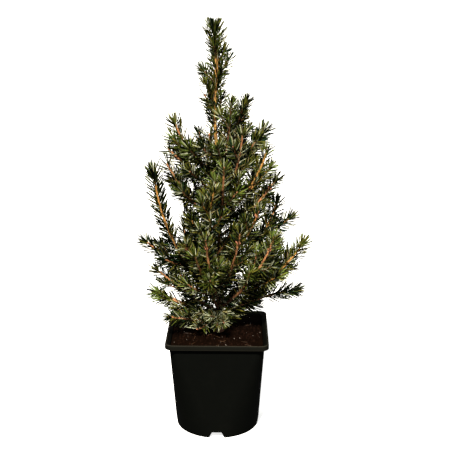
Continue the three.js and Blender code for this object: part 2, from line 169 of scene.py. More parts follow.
def named(columns, rows):
    # Rows of values as dictionaries, by the names of the columns
    return [dict(zip(columns.split(), row)) for row in rows]


def buildStudio():
    camera = bpy.data.objects.new("studioCamera", bpy.data.cameras.new("studioCamera"))
    camera.data.lens = studio["lens"]
    camera.data.sensor_width = studio["sensorWidth"]
    turn = Matrix.Rotation(math.radians(-studio["yaw"]), 4, "Z")
    tilt = Matrix.Rotation(math.radians(90 - studio["pitch"]), 4, "X")
    roll = Matrix.Rotation(math.radians(studio["roll"]), 4, "Z")
    camera.matrix_world = Matrix.Translation(Vector(studio["cameraAt"]) * mm) @ turn @ tilt @ roll
    bpy.context.scene.collection.objects.link(camera)
    bpy.context.scene.camera = camera

    bm = bmesh.new()
    bmesh.ops.create_grid(bm, x_segments=1, y_segments=1, size=studio["floorWidth"] / 2)
    floor = bpy.data.objects.new("studioFloor", meshFrom(bm, "studioFloor"))
    # A light table's opal sheet: white, matt, and lit from below so that shadows stay faint
    acrylic = newMaterial(
        "litOpalAcrylic",
        {
            "Base Color": toLinear(studio["floor"]),
            "Roughness": 0.95,
            "Specular IOR Level": 0.1,
            "Emission Color": toLinear(studio["floor"]),
            "Emission Strength": studio["floorGlow"],
        },
    )[0]
    floor.data.materials.append(acrylic)
    bpy.context.scene.collection.objects.link(floor)
    floor.visible_diffuse = False  # no light comes back up into the plant and the pot
    floor.visible_glossy = False

    for name, place, aim, width, power in studio["lamps"]:
        lamp = bpy.data.objects.new(name, bpy.data.lights.new(name, "AREA"))
        lamp.data.size = width * mm
        lamp.data.energy = power
        back = (Vector(place) - Vector(aim)).to_track_quat("Z", "Y")
        lamp.matrix_world = Matrix.Translation(Vector(place) * mm) @ back.to_matrix().to_4x4()
        bpy.context.scene.collection.objects.link(lamp)

    sun = bpy.data.objects.new("softSun", bpy.data.lights.new("softSun", "SUN"))
    sun.data.energy = studio["sunStrength"]
    sun.data.color = toLinear(studio["sunColour"])[:3]
    sun.data.angle = math.radians(studio["sunSpread"])
    sun.matrix_world = Vector(studio["sunFrom"]).to_track_quat("Z", "Y").to_matrix().to_4x4()
    bpy.context.scene.collection.objects.link(sun)

    sky = bpy.data.worlds.new("studioSky")
    sky.use_nodes = True
    surround = sky.node_tree.nodes["Background"]
    surround.inputs["Color"].default_value = toLinear(studio["skyColour"])
    surround.inputs["Strength"].default_value = studio["skyStrength"]
    bpy.context.scene.world = sky
    bpy.context.scene.view_settings.view_transform = "Standard"
    print("studio ready")


buildStudio()


# The pot: a thin moulded shell, square at the turned-down rim and round at the foot
potShape = {
    "height": 151,
    "rimWidth": 150,
    "rimDrop": 7,
    "bodyWidth": 138,
    "footWidth": 124,
    "wall": 1.5,
    "cornerRadius": 11,
    "cornerFall": 0.4,  # how much tighter the corners get with each millimetre in from the rim
    "leastCorner": 3,
    "almostRound": 0.3,  # what the foot's corners leave of half its width
    "footStep": 1.1,  # from the ring under the foot out to the wall
    "wallSteps": 8,
    "lipCorner": 0.4,  # the hollow corner inside the rim's lip
    "channelHeight": 9.5,
    "channelInner": 38,
    "channelOuter": 59.5,
    "channelSlope": 2,
    "notchTop": 14,
    "notchFoot": 24,
    "notchCount": 4,
    "drainHole": 8,
    "drainHoles": 8,
    "cutPast": 4,  # how far the cutters reach past what they cut
    "cutBelow": 1,
    "ringCorners": 17,  # steps in each quarter turn
    "rimFall": 0.8,  # how far the rim's top falls away outside its crest, and inside it
    "rimHollow": 2.4,
    "crest": 1.9,  # from the outer face in to the crest
    "rimRound": 0.4,
    "edgeRound": 0.3,
    "sharpAngle": 42,
    "colour": "#0a0b09",
    "clean": "#030302",  # painted shade, near black on the rim's sides and back
    "dust": "#151410",
    # the colour of a painted highlight on the rim's crest and front face, with a little scuffing
    "scuffHighlightColour": "#454137",
    "roughness": 0.38,
}
peatShape = {
    "belowRim": 4.5,
    "gap": 0.3,  # between the fill and the pot's inside, and a little more at its top
    "topGap": 0.35,
    "lowerTop": 4,  # how far below the top its plain lower body ends, and the crumbled top's skirt
    "skirtFoot": 5,
    "tuck": 0.4,  # how far the lower body keeps inside that skirt
    "footStep": 1,  # a little under the step that the pot has there
    "gridSteps": 112,
    "clods": 1.05,  # heights of the broad unevenness, of the finer one and of the cracks
    "crumbs": 0.55,
    "cracks": 0.45,
    "widths": (13, 3.2, 1.9),  # and about how wide each is
    "settled": 0.9,  # how far it has sunk at the wall
    "settledWidth": 7,
    "edgeRoom": 3,  # what lies loose keeps this far from the edge
    "cornerRoom": 9,
    "trunkRoom": 9,
    "looseCrumbs": 620,
    "looseSizes": (0.6, 2.1),
    "looseColours": ("#100805", "#26150c"),
    "paleGrains": 46,
    "grainSizes": (0.35, 0.9),
    "grainColours": ("#4d4138", "#8a7f74"),
    "fallenNeedles": 26,
    "fallenColours": ("#24160c", "#3f2a17"),
    "fallenSheen": 0.36,
    "colours": ("#070301", "#150904"),
}
peatTop = potShape["height"] - peatShape["belowRim"]


def mouldedPolypropylene():
    # Black polypropylene, injection moulded: a satin skin with a soft broad sheen, faint flow unevenness
    # from the mould, and a little peat dust that dulls it in patches
    # A painted highlight lightens the rim's crest and the front of its face, and painted shade darkens the
    # rim's sides and back
    material, tree, shader = newMaterial(
        "mouldedPolypropylene",
        {
            "Base Color": toLinear(potShape["colour"]),
            "Roughness": potShape["roughness"],
            "IOR": 1.49,
            "Specular IOR Level": 0.012,
        },
    )
    place = addNode(tree, "TexCoord", output="Object")
    height = addNode(tree, "SeparateXYZ", links={"Vector": place}, output="Z")
    # The rim's crest: a little scuffing and a painted highlight
    crest = addNode(
        tree, "MapRange", {"From Min": 0.1505, "From Max": 0.1509, "To Max": 0.85}, {"Value": height}
    )
    normal = addNode(tree, "TexCoord", output="Normal")
    facing = addNode(tree, "SeparateXYZ", links={"Vector": normal}, output="Y")
    frontLit = addNode(
        tree, "MapRange",
        {"From Min": 0.0, "From Max": -0.3, "To Min": 0.2, "To Max": 1.0},  # painted highlight, lightest along the front, which faces the light
        {"Value": facing},
    )
    # Where the rim's face begins
    face = addNode(tree, "MapRange", {"From Min": 0.1436, "From Max": 0.144}, {"Value": height})
    lowerEdgeHighlight = addNode(
        tree, "MapRange",
        {"From Min": 0.1446, "From Max": 0.1452, "To Min": 0.24, "To Max": 0.07},  # painted highlight, most on its lower edge
        {"Value": height},
    )
    # A painted highlight on the front of the rim's face
    faceHighlight = addNode(tree, "Math", {"operation": "MULTIPLY"}, {0: face, 1: lowerEdgeHighlight})
    most = addNode(tree, "Math", {"operation": "MAXIMUM"}, {0: crest, 1: faceHighlight})
    scuffAndHighlightShare = addNode(tree, "Math", {"operation": "MULTIPLY"}, {0: most, 1: frontLit})
    # Painted shade on the rim's sides and back, away from the light
    unlitShare = addNode(tree, "Math", {"operation": "SUBTRACT", 0: 1.0}, {1: frontLit})
    clean = addNode(tree, "Math", {"operation": "MULTIPLY"}, {0: face, 1: unlitShare})
    # Patches 20 mm across
    patches = addNode(
        tree, "TexNoise", {"Scale": 45.0, "Detail": 5.0, "Roughness": 0.65}, {"Vector": place}
    )
    share = addNode(
        tree, "MapRange", {"From Min": 0.5, "From Max": 0.85, "To Max": 0.22}, {"Value": patches}
    )
    colour = addNode(
        tree, "Mix",
        {"data_type": "RGBA", 6: toLinear(potShape["colour"]), 7: toLinear(potShape["dust"])},
        {0: share}, output=2,
    )
    shadedRimSides = addNode(
        tree, "Mix",
        {"data_type": "RGBA", 7: toLinear(potShape["clean"])},  # painted shade, the rim's sides and back made near black
        {0: clean, 6: colour}, output=2,
    )
    # The painted highlight and the scuffing, laid over the colour
    scuffedAndLit = addNode(
        tree, "Mix",
        {"data_type": "RGBA", 7: toLinear(potShape["scuffHighlightColour"])},
        {0: scuffAndHighlightShare, 6: shadedRimSides}, output=2,
    )
    gloss = addNode(
        tree, "MapRange",
        {"From Min": 0.3, "From Max": 0.8, "To Min": 0.34, "To Max": 0.58},
        {"Value": patches},
    )
    # The mould's spark-eroded grain, 0.7 mm
    grain = addNode(tree, "TexNoise", {"Scale": 1400.0, "Detail": 2.0}, {"Vector": place})
    relief = addNode(tree, "Bump", {"Strength": 0.12, "Distance": 0.0002}, {"Height": grain})
    tree.links.new(scuffedAndLit, shader.inputs["Base Color"])
    tree.links.new(gloss, shader.inputs["Roughness"])
    tree.links.new(relief, shader.inputs["Normal"])
    return material


def cornerAt(half):
    inset = max(potShape["rimWidth"] / 2 - half, 0) * potShape["cornerFall"]
    return max(potShape["cornerRadius"] - inset, potShape["leastCorner"])


def squareOff(verts):
    # Rings of a round spun about the axis are squared towards the rim, where the corners are tightest
    side = potShape["ringCorners"] + 1
    for vert in verts:
        half = math.hypot(vert.co.x, vert.co.y)
        if half < 0.01:
            continue
        turn = math.atan2(vert.co.y, vert.co.x)
        step = round(turn / (2 * math.pi) * 4 * side + 4 * side) % (4 * side)
        quarter = step // side
        share = min(vert.co.z / (potShape["height"] - potShape["rimDrop"]), 1)
        radius = blend(half - potShape["almostRound"], cornerAt(half), share)
        angle = (quarter + (step % side) / potShape["ringCorners"]) * math.pi / 2
        centre = (half - radius) * math.sqrt(2)
        diagonal = (quarter + 0.5) * math.pi / 2
        vert.co.x = centre * math.cos(diagonal) + radius * math.cos(angle)
        vert.co.y = centre * math.sin(diagonal) + radius * math.sin(angle)


def spinProfile(profile, rounded=()):
    # A profile of radius and height, its named corners rounded, spun about the pot's axis and squared
    bm = bmesh.new()
    verts = [bm.verts.new((radius, 0, height)) for radius, height in profile]
    for a, b in zip(verts, verts[1:]):
        bm.edges.new((a, b))
    if rounded:
        bmesh.ops.bevel(
            bm,
            geom=[verts[n] for n in rounded],
            offset=potShape["rimRound"],
            offset_type="OFFSET",
            affect="VERTICES",
            segments=3,
            profile=0.5,
            material=-1,
        )
    bmesh.ops.spin(
        bm,
        geom=bm.verts[:] + bm.edges[:],
        cent=(0, 0, 0),
        axis=(0, 0, 1),
        angle=2 * math.pi,
        steps=4 * (potShape["ringCorners"] + 1),
        use_merge=True,
    )
    squareOff(bm.verts)
    return bm


def potCutters():
    # Wedges for the notches in the foot and pins for the drain holes
    bm = bmesh.new()
    foot = potShape["footWidth"] / 2
    past = potShape["cutPast"]
    below = potShape["cutBelow"]
    depth = foot - potShape["channelOuter"] + 2 * past
    for n in range(potShape["notchCount"]):
        wedge = bmesh.ops.create_cube(bm, size=1)["verts"]
        bmesh.ops.scale(bm, vec=(1, depth, potShape["channelHeight"] + below), verts=wedge)
        for vert in wedge:
            wide = potShape["notchTop"] if vert.co.z > 0 else potShape["notchFoot"]
            vert.co.x = math.copysign(wide / 2, vert.co.x)
        middle = (0, -(foot + past - depth / 2), potShape["channelHeight"] / 2 - below / 2)
        bmesh.ops.translate(bm, vec=middle, verts=wedge)
        turn = Matrix.Rotation(2 * math.pi * n / potShape["notchCount"], 3, "Z")
        bmesh.ops.rotate(bm, cent=(0, 0, 0), matrix=turn, verts=wedge)
    holeCircle = (potShape["channelInner"] + potShape["channelOuter"]) / 2
    for n in range(potShape["drainHoles"]):
        pin = bmesh.ops.create_cone(
            bm,
            cap_ends=True,
            segments=24,
            radius1=potShape["drainHole"] / 2,
            radius2=potShape["drainHole"] / 2,
            depth=2 * past,
        )["verts"]
        middle = (holeCircle, 0, potShape["channelHeight"] + potShape["wall"])
        bmesh.ops.translate(bm, vec=middle, verts=pin)
        turn = Matrix.Rotation(2 * math.pi * (n + 0.5) / potShape["drainHoles"], 3, "Z")
        bmesh.ops.rotate(bm, cent=(0, 0, 0), matrix=turn, verts=pin)
    return meshFrom(bm, "potCutters")


def buildPot():
    foot = potShape["footWidth"] / 2
    body = potShape["bodyWidth"] / 2
    rim = potShape["rimWidth"] / 2
    height = potShape["height"]
    wall = potShape["wall"]
    corner = potShape["lipCorner"]
    lipFoot = height - potShape["rimDrop"]
    roof = potShape["channelHeight"]
    floor = roof + wall
    slope = potShape["channelSlope"]
    inner = potShape["channelInner"]
    outer = potShape["channelOuter"]
    top = height - wall - potShape["rimHollow"]
    steps = potShape["wallSteps"]
    step = potShape["footStep"]
    levels = [floor + (top - floor) * k / steps for k in range(steps + 1)]
    outside = [(foot + step + (body - foot - step) * k / steps, level) for k, level in enumerate(levels)]
    inside = [(radius - wall, level) for radius, level in reversed(outside[:-1])]
    profile = [
        (0, 0),
        (inner, 0),
        (inner + slope, roof),
        (outer - slope, roof),
        (outer, 0),
        (foot, 0),
        *outside,
        (rim - wall - corner, height - wall - corner),
        (rim - wall, lipFoot),
        (rim, lipFoot),
        (rim, height - potShape["rimFall"]),
        (rim - potShape["crest"], height),
        (body - wall, height - potShape["rimHollow"]),
        *inside,
        (inner + slope - wall, floor),
        (inner - wall, wall),
        (0, wall),
    ]
    lip = profile.index((rim - wall, lipFoot))
    bm = spinProfile(profile, rounded=range(lip, lip + 5))
    shell = bpy.data.objects.new("potShell", meshFrom(bm, "potShell"))
    cutters = bpy.data.objects.new("potCutters", potCutters())
    for item in (shell, cutters):
        bpy.context.scene.collection.objects.link(item)
    cut = shell.modifiers.new("notchesAndHoles", "BOOLEAN")
    cut.object = cutters
    cut.solver = "EXACT"
    bpy.context.view_layer.update()
    carved = bpy.data.meshes.new_from_object(shell.evaluated_get(bpy.context.evaluated_depsgraph_get()))
    for item in (shell, cutters):
        bpy.data.objects.remove(item)
    pot = keepPiece("nurseryPot", carved, mouldedPolypropylene(), ["pot"])
    edges = pot.modifiers.new("softEdges", "BEVEL")
    edges.width = potShape["edgeRound"] * mm
    edges.segments = 2
    edges.limit_method = "ANGLE"
    edges.angle_limit = math.radians(potShape["sharpAngle"])
    carved.set_sharp_from_angle(angle=math.radians(potShape["sharpAngle"]))
    print("pot ready", len(carved.polygons), "faces")


buildPot()


# The peat: a fill that follows the pot's wall, with a crumbled top and loose pieces on it
def sievedPeat(name, dark, light):
    # Sieved peat: matt and almost black when moist, brown where it has dried, in crumbs of 1 to 3 mm
    material, tree, shader = newMaterial(name, {"Roughness": 1.0, "Specular IOR Level": 0.02})
    place = addNode(tree, "TexCoord", output="Object")
    crumbs = addNode(tree, "TexVoronoi", {"Scale": 420.0}, {"Vector": place})  # crumbs 2.4 mm across
    # Damp and dry patches 14 mm across
    damp = addNode(tree, "TexNoise", {"Scale": 70.0, "Detail": 8.0, "Roughness": 0.7}, {"Vector": place})
    both = addNode(tree, "Math", {"operation": "MULTIPLY_ADD", 1: 0.35}, {0: crumbs, 2: damp})
    share = addNode(tree, "MapRange", {"From Min": 0.45, "From Max": 0.95}, {"Value": both})
    # Painted shade: the peat is made darker towards the back
    across = addNode(tree, "SeparateXYZ", links={"Vector": place}, output="Y")
    paintedShadeGradient = addNode(
        tree, "MapRange",
        {"From Min": -0.055, "From Max": 0.03, "To Min": 1.0, "To Max": 0.1},  # painted shade, lighter in front and darker towards the back
        {"Value": across},
    )
    shadedShare = addNode(tree, "Math", {"operation": "MULTIPLY"}, {0: share, 1: paintedShadeGradient})
    colour = addNode(
        tree, "Mix", {"data_type": "RGBA", 6: toLinear(dark), 7: toLinear(light)}, {0: shadedShare}, output=2
    )
    relief = addNode(tree, "Bump", {"Strength": 0.7, "Distance": 0.001}, {"Height": both})
    tree.links.new(colour, shader.inputs["Base Color"])
    tree.links.new(relief, shader.inputs["Normal"])
    return material


def peatHalf():
    # Half the width of the fill across the flats, at its top
    foot = potShape["footWidth"] / 2 - potShape["wall"]
    body = potShape["bodyWidth"] / 2 - potShape["wall"]
    return blend(foot, body, peatTop / potShape["height"]) - peatShape["topGap"]


def peatHeight(x, y):
    # The uneven top: broad clods, crumbs and cracks on them, and a slight slope down to the wall
    clod, crumb, crack = peatShape["widths"]
    broad = noise.fractal(Vector((x / clod, y / clod, 3.1)), 1.0, 2.0, 3)
    fine = noise.fractal(Vector((x / crumb, y / crumb, 7.7)), 0.8, 2.0, 4)
    cracked = noise.noise(Vector((x / crack, y / crack, 1.3)))
    edge = limited((peatHalf() - max(abs(x), abs(y))) / peatShape["settledWidth"])
    height = peatTop - peatShape["settled"] * (1 - edge) ** 2
    height += peatShape["clods"] * broad
    return height + (peatShape["crumbs"] * fine + peatShape["cracks"] * cracked)


def crumbleTop():
    # A fine grid pulled into the pot's rounded square
    half = peatHalf()
    corner = cornerAt(half)
    bm = bmesh.new()
    steps = peatShape["gridSteps"]
    bmesh.ops.create_grid(bm, x_segments=steps, y_segments=steps, size=half)
    for vert in bm.verts:
        x, y = vert.co.x, vert.co.y
        level = max(abs(x), abs(y)) / half
        inner = (half - corner) * level
        dx, dy = max(abs(x) - inner, 0), max(abs(y) - inner, 0)
        if dx > 0 and dy > 0:
            pull = max(dx, dy) / math.hypot(dx, dy)
            x = math.copysign(inner + dx * pull, x)
            y = math.copysign(inner + dy * pull, y)
        vert.co = (x, y, peatHeight(x, y))
    rimEdges = [edge for edge in bm.edges if edge.is_boundary]
    skirt = bmesh.ops.extrude_edge_only(bm, edges=rimEdges)["geom"]
    for vert in (item for item in skirt if isinstance(item, bmesh.types.BMVert)):
        vert.co.z = peatTop - peatShape["skirtFoot"]
    bmesh.ops.edgeloop_fill(bm, edges=[item for item in skirt if isinstance(item, bmesh.types.BMEdge)])
    return bm


def buildPeat():
    gap = peatShape["gap"]
    wall = potShape["wall"]
    foot = potShape["footWidth"] / 2 - wall - gap
    floor = potShape["channelHeight"] + wall + gap
    inner = potShape["channelInner"]
    top = peatTop - peatShape["lowerTop"]
    below = spinProfile(
        [
            (0, wall + gap),
            (inner - wall - gap, wall + gap),
            (inner + potShape["channelSlope"] - wall - gap, floor),
            (foot + peatShape["footStep"], floor),
            (peatHalf() - peatShape["tuck"], top),
            (0, top),
        ]
    )
    lower = meshFrom(below, "peatLower")
    bm = crumbleTop()
    bmesh.ops.recalc_face_normals(bm, faces=bm.faces)
    bmesh.ops.scale(bm, vec=(mm, mm, mm), verts=bm.verts)
    bm.from_mesh(lower)
    bpy.data.meshes.remove(lower)
    mesh = bpy.data.meshes.new("peatFill")
    bm.to_mesh(mesh)
    bm.free()
    keepPiece("peatFill", mesh, sievedPeat("sievedPeat", *peatShape["colours"]), ["peat"])
    print("peat ready", len(mesh.polygons), "faces")


buildPeat()


def copiesOf(template, rows):
    # Copies of a small mesh as one: each row is a place and the three axes, scaled, that it stands along
    corners, faces = template
    places = np.array([row[0] for row in rows], float)
    axes = np.array([row[1:4] for row in rows], float)
    moved = places[:, None] + np.einsum("ck,nkd->ncd", corners, axes)
    return moved.reshape(-1, 3), joinedFaces(faces, len(corners), len(rows))


def joinedFaces(faces, corners, count):
    step = (np.arange(count) * corners)[:, None, None]
    return (faces[None] + step).reshape(-1, faces.shape[1])


def templateFrom(bm):
    # The corners and triangles of a small shape
    bmesh.ops.triangulate(bm, faces=bm.faces)
    bm.verts.index_update()
    corners = np.array([vert.co[:] for vert in bm.verts])
    faces = np.array([[vert.index for vert in face.verts] for face in bm.faces])
    bm.free()
    return corners, faces


def joinedMesh(name, corners, faces):
    mesh = bpy.data.meshes.new(name)
    mesh.from_pydata((corners * mm).tolist(), [], faces.tolist())
    mesh.update()
    return mesh


def crumbTemplate():
    # A rough lump, one in radius
    bm = bmesh.new()
    bmesh.ops.create_icosphere(bm, subdivisions=1, radius=1)
    for vert in bm.verts:
        vert.co *= 1 + 0.35 * noise.noise(vert.co * 2.3)
    return templateFrom(bm)


def scatterOnPeat(count, sizes, random, sink):
    # Places and axes for grains on the peat, clear of the trunk's foot and of the wall
    rows = []
    half = peatHalf() - peatShape["edgeRoom"]
    straight = half - peatShape["cornerRoom"]
    small, large = sizes
    while len(rows) < count:
        x, y = half * (2 * random() - 1), half * (2 * random() - 1)
        size = small + (large - small) * random() ** 3
        if math.hypot(x, y) < peatShape["trunkRoom"] or (abs(x) > straight and abs(y) > straight):
            continue
        turn = Matrix.Rotation(6.28 * random(), 3, "Z") @ Matrix.Rotation(6.28 * random(), 3, "X")
        axes = [turn.col[k] * size * (0.7 + 0.6 * random()) for k in range(3)]
        rows.append((Vector((x, y, peatHeight(x, y) + size * sink)), *axes))
    return rows


def paleGrain():
    # Perlite and grit: chalky, off-white grains that peat has stained
    material, tree, shader = newMaterial("stainedGrit", {"Roughness": 0.85})
    dark, light = peatShape["grainColours"]
    place = addNode(tree, "TexCoord", output="Object")
    # Stains about 1 mm across
    stain = addNode(tree, "TexNoise", {"Scale": 900.0, "Detail": 3.0}, {"Vector": place})
    colour = addNode(
        tree, "Mix", {"data_type": "RGBA", 6: toLinear(dark), 7: toLinear(light)}, {0: stain}, output=2
    )
    tree.links.new(colour, shader.inputs["Base Color"])
    return material


def buildLooseGrains():
    random = randomFrom(311)
    crumb = crumbTemplate()
    rows = scatterOnPeat(peatShape["looseCrumbs"], peatShape["looseSizes"], random, 0.1)
    crumbs = joinedMesh("looseCrumbs", *copiesOf(crumb, rows))
    dry = sievedPeat("drySievedPeat", *peatShape["looseColours"])
    keepPiece("looseCrumbs", crumbs, dry, (), smooth=False)
    rows = scatterOnPeat(peatShape["paleGrains"], peatShape["grainSizes"], random, 0.2)
    grains = joinedMesh("paleGrit", *copiesOf(crumb, rows))
    keepPiece("paleGrit", grains, paleGrain(), (), smooth=False)
    print("loose grains ready", len(crumbs.polygons) + len(grains.polygons), "faces")


buildLooseGrains()


# The trunk: its centre line as offsets from the pot's axis at heights above the floor, and its thickness
trunkShape = {
    "top": 600,
    "footRadius": 5.4,
    "topRadius": 1.0,
    "flare": 3,
    "flareHeight": 9,
    "taper": 0.8,
    "line": [
        (2, 0, 150),
        (2.6, -1, 230),
        (2, 0, 310),
        (0.5, 1, 385),
        (-4, 1, 462),
        (-3.6, 0, 505),
        (-2, -1, 545),
        (-5, 0, 585),
        (-6.5, 0, 604),
    ],
    "ringPitch": 1.3,
    "relief": 0.34,
    "pegs": 0.9,  # how far the needle pegs thicken the leader, and between which heights
    "pegRange": (480, 602),
    "pegEase": (40, 24),
    "swelling": 0.9,  # where a year's growth sets out
    "swellAt": 552,
    "swellSpan": 14,
    "oldBark": ("#24150f", "#6e4630"),
    "youngBark": ("#5c3613", "#dfa75a"),
    "newWood": "#3f4418",
}
# Growth: the same rule as the part's source, and how much finer it is carried here
growth = {
    "needleLength": 16.5,
    "limbRadii": (2.9, 2.15),
    "limbRods": (2.9, 2.7, 2.4, 2.2, 2.2, 2.2),  # what a bare limb takes up, from its foot
    "limbPitch": 14,
    "stemRadius": 2.1,
    "tipRadius": 1.2,
    "twigRadius": 1.5,
    "twigThinner": {1: (1, 0.8), 2: (0.72, 0.65)},  # foot and tip of side twigs and of fine twigs
    "pitch": 8,
    "firstTwig": 36,
    "twigPitch": 28,
    "twigShare": 0.46,
    "longestTwig": 58,
    "shortestTwig": 20,
    "twigRoom": 3,
    "forkAngle": 46,
    "forkSpread": 10,
    "rollSpread": 70,
    "forwards": 0.5,  # how far a twig bends on from its fork, along its shoot and up
    "upwards": 0.3,
    "clearance": 0.8,
    "pastRim": 3,  # outside the pot's rim by this much, foliage may hang down to the floor's room
    "aboveFloor": 4,
    "overRim": 6,
    "abovePeat": 1.4,
    "abovePot": 0.8,
    "fineFirst": 33,  # from a shoot's tip back to its first fine twig
    "finePitch": 21,
    "fineShare": 0.42,
    "fineLongest": 24,
    "fineShortest": 9,
    "fineRoom": 2.2,
    "fineClean": 0.7,  # the share without fine twigs, on a shoot that is kept clean of side twigs
    "mostOpen": 0.6,  # no fine twig sets out into a gap more open than this
    "leaderRadii": (1.3, 0.85),
    "innerShoots": 64,
    "innerHeights": (158, 400),
    "innerReaches": (46, 30),
    "innerRadii": (1.1, 0.7),
    "innerRoom": 1.6,
    "footShoots": 16,
    "footRadii": (1.0, 0.7),
    "footRoom": 1.3,
    "shortRadius": 1.2,  # what the short shoots take up
}
# The boughs: foot on the trunk, compass turn from +X, reach from the axis, height of the furthest needles,
# upward bend. A bare share at the foot is its own limb in the frame, a clean share at the tip has no side
# twigs, and a swing bends the bough sideways.
boughs = named("name foot turn reach tip bend bare clean swing", [
    ("left_tall", 196, 186, 97, 402, 21, 0.2, 0.85),
    ("left_fork", 216, 174, 115, 286, 4, 0.25),
    ("left_low", 176, 183, 98, 249, 6, 0.25),
    ("left_flat", 164, 172, 103, 206, -3, 0.25),
    ("left_upper", 305, 194, 80, 412, 10, 0.2),
    ("right_long", 196, 356, 133, 292, 23, 0.22),
    ("right_flat", 172, 12, 129, 206, -9, 0.22),
    ("right_fork", 238, 7, 93, 350, 24, 0.22),
    ("right_upper", 293, 350, 92, 391, 11, 0.2),
    ("right_high", 320, 342, 79, 433, 18, 0.2),
    ("front_left", 178, 246, 84, 293, 3, 0.2),
    ("front_mid", 190, 258, 80, 315, 15, 0.2),
    ("front_right", 203, 296, 79, 326, 14, 0.2),
    ("front_right_long", 183, 327, 102, 314, 17, 0.2),
    ("back_right", 188, 36, 118, 272, 9, 0.22),
    ("back_low", 180, 80, 100, 280, 10, 0.2),
    ("back_left", 190, 118, 98, 276, 10, 0.2),
    ("left_front_low", 158, 207, 87, 183, 0),
    ("left_high", 344, 192, 78, 432, -6),
    ("left_top", 382, 184, 68, 469, 18),
    ("left_back_high", 372, 138, 42, 449, 8),
    ("left_back_mid", 318, 160, 62, 412, 8),
    ("left_front_mid", 216, 229, 76, 302, 6),
    ("front_skirt", 164, 283, 52, 177, -4),
    ("front_centre", 226, 266, 68, 386, 12, 0, 0, -14),
    ("front_upper", 298, 280, 58, 415, 10),
    ("front_high", 386, 254, 46, 458, 8),
    ("front_tall", 342, 311, 31, 502, 4),
    ("front_right_mid", 246, 322, 80, 350, 13),
    ("front_right_high", 334, 318, 51, 459, 14),
    ("right_top", 378, 7, 74, 457, 9),
    ("right_crown", 410, 18, 47, 498, 12),
    ("back_right_low", 163, 42, 92, 182, 0),
    ("back_right_mid", 262, 52, 94, 358, 8),
    ("back_left_low", 170, 145, 95, 216, 2),
    ("back_left_mid", 252, 138, 78, 324, 10),
    ("back_mid", 286, 98, 84, 384, 10),
    ("back_high", 362, 68, 61, 448, 8),
    ("back_crown", 428, 104, 37, 500, 6),
])
# Forks set out at a share of a bough's length. The fill twigs close gaps that the photo doesn't show.
forks = named("on at turn reach tip bend", [
    ("left_low", 0.5, 187, 90, 229, 0),
    ("left_top", 0.3, 189, 72, 446, 6),
    ("right_fork", 0.62, 5, 115, 324, 4),
    ("right_top", 0.35, 2, 67, 437, 6),
    ("right_high", 0.45, 346, 84, 409, 6),
    ("back_left_mid", 0.4, 157, 58, 340, 8),
    ("front_skirt", 0.34, 251, 45, 187, -6),
])
fillTwigs = named("on at turn reach tip bend", [
    ("right_long", 0.42, 350, 88, 282, 6),
    ("front_right_long", 0.5, 321, 74, 292, 6),
    ("left_low", 0.35, 186, 62, 246, 4),
    ("left_flat", 0.5, 178, 94, 200, 0),
    ("left_fork", 0.4, 182, 50, 316, 6),
    ("front_right_long", 0.2, 302, 54, 222, 3),
    ("right_crown", 0.25, 10, 52, 455, 6),
    ("right_upper", 0.45, 356, 76, 368, 3),
    ("left_upper", 0.55, 191, 70, 386, 2),
    ("right_long", 0.5, 358, 88, 297, 5),
    ("right_crown", 0.45, 352, 39, 492, 4),
    ("front_skirt", 0.3, 266, 46, 168, -8),
])
leaderShoots = named("foot turn reach tip", [
    (500, 186, 25, 524),
    (468, 350, 9, 505),
    (420, 346, 14, 460),
    (472, 178, 23, 508),
    (516, 176, 27, 541),
    (524, 352, 20, 557),
    (543, 12, 14, 569),
    (484, 200, 20, 519),
    (500, 78, 20, 534),
    (535, 118, 17, 566),
    (552, 236, 14, 578),
])

# What the eye sees on each bough: the tone of its needles, whether fresh growth ends it, and a golden stem.
# Where the needles part and show the stem, it is on the side of a compass turn, between two shares of the
# length.
sprays = {
    "fresh": [
        "left_top", "left_flat", "right_long", "front_left", "front_mid", "front_upper",
        "front_tall", "front_right_long", "right_high",
    ],
    "dark": [
        "left_tall", "left_fork", "right_fork", "right_crown", "right_flat", "back_right", "back_low",
        "back_left", "back_right_low", "back_right_mid", "back_left_low", "back_left_mid", "back_mid",
        "back_high", "back_crown", "left_back_high", "left_back_mid",
    ],
    "long": [
        "left_tall", "left_top", "left_upper", "left_fork", "left_flat", "right_long", "right_flat",
        "right_fork", "right_top",
    ],
    "golden": ["left_tall", "front_centre", "right_fork", "right_long", "right_high", "front_right_mid"],
    "shows": {
        "front_left": (262, 0.45, 0.8),
        "front_mid": (265, 0.48, 0.92),
        "front_right": (280, 0.5, 0.88),
        "front_right_long": (285, 0.55, 0.88),
        "front_centre": (270, 0.3, 0.92),
        "front_upper": (272, 0.3, 0.95),
        "front_right_mid": (285, 0.56, 0.95),
        "front_right_high": (278, 0.48, 0.95),
        "front_tall": (276, 0.42, 0.74),
        "left_front_mid": (255, 0.64, 0.8),
        "left_tall": (265, 0.64, 0.9),
        "left_fork": (265, 0.8, 0.97),
        "left_low": (265, 0.6, 0.8),
        "left_front_low": (265, 0.45, 0.72),
        "left_upper": (268, 0.45, 0.93),
        "left_high": (268, 0.45, 0.97),
        "left_top": (265, 0.7, 0.94),
        "right_upper": (275, 0.4, 0.87),
        "right_high": (275, 0.46, 0.93),
        "right_fork": (275, 0.7, 0.95),
        "right_long": (275, 0.78, 0.87),
    },
}

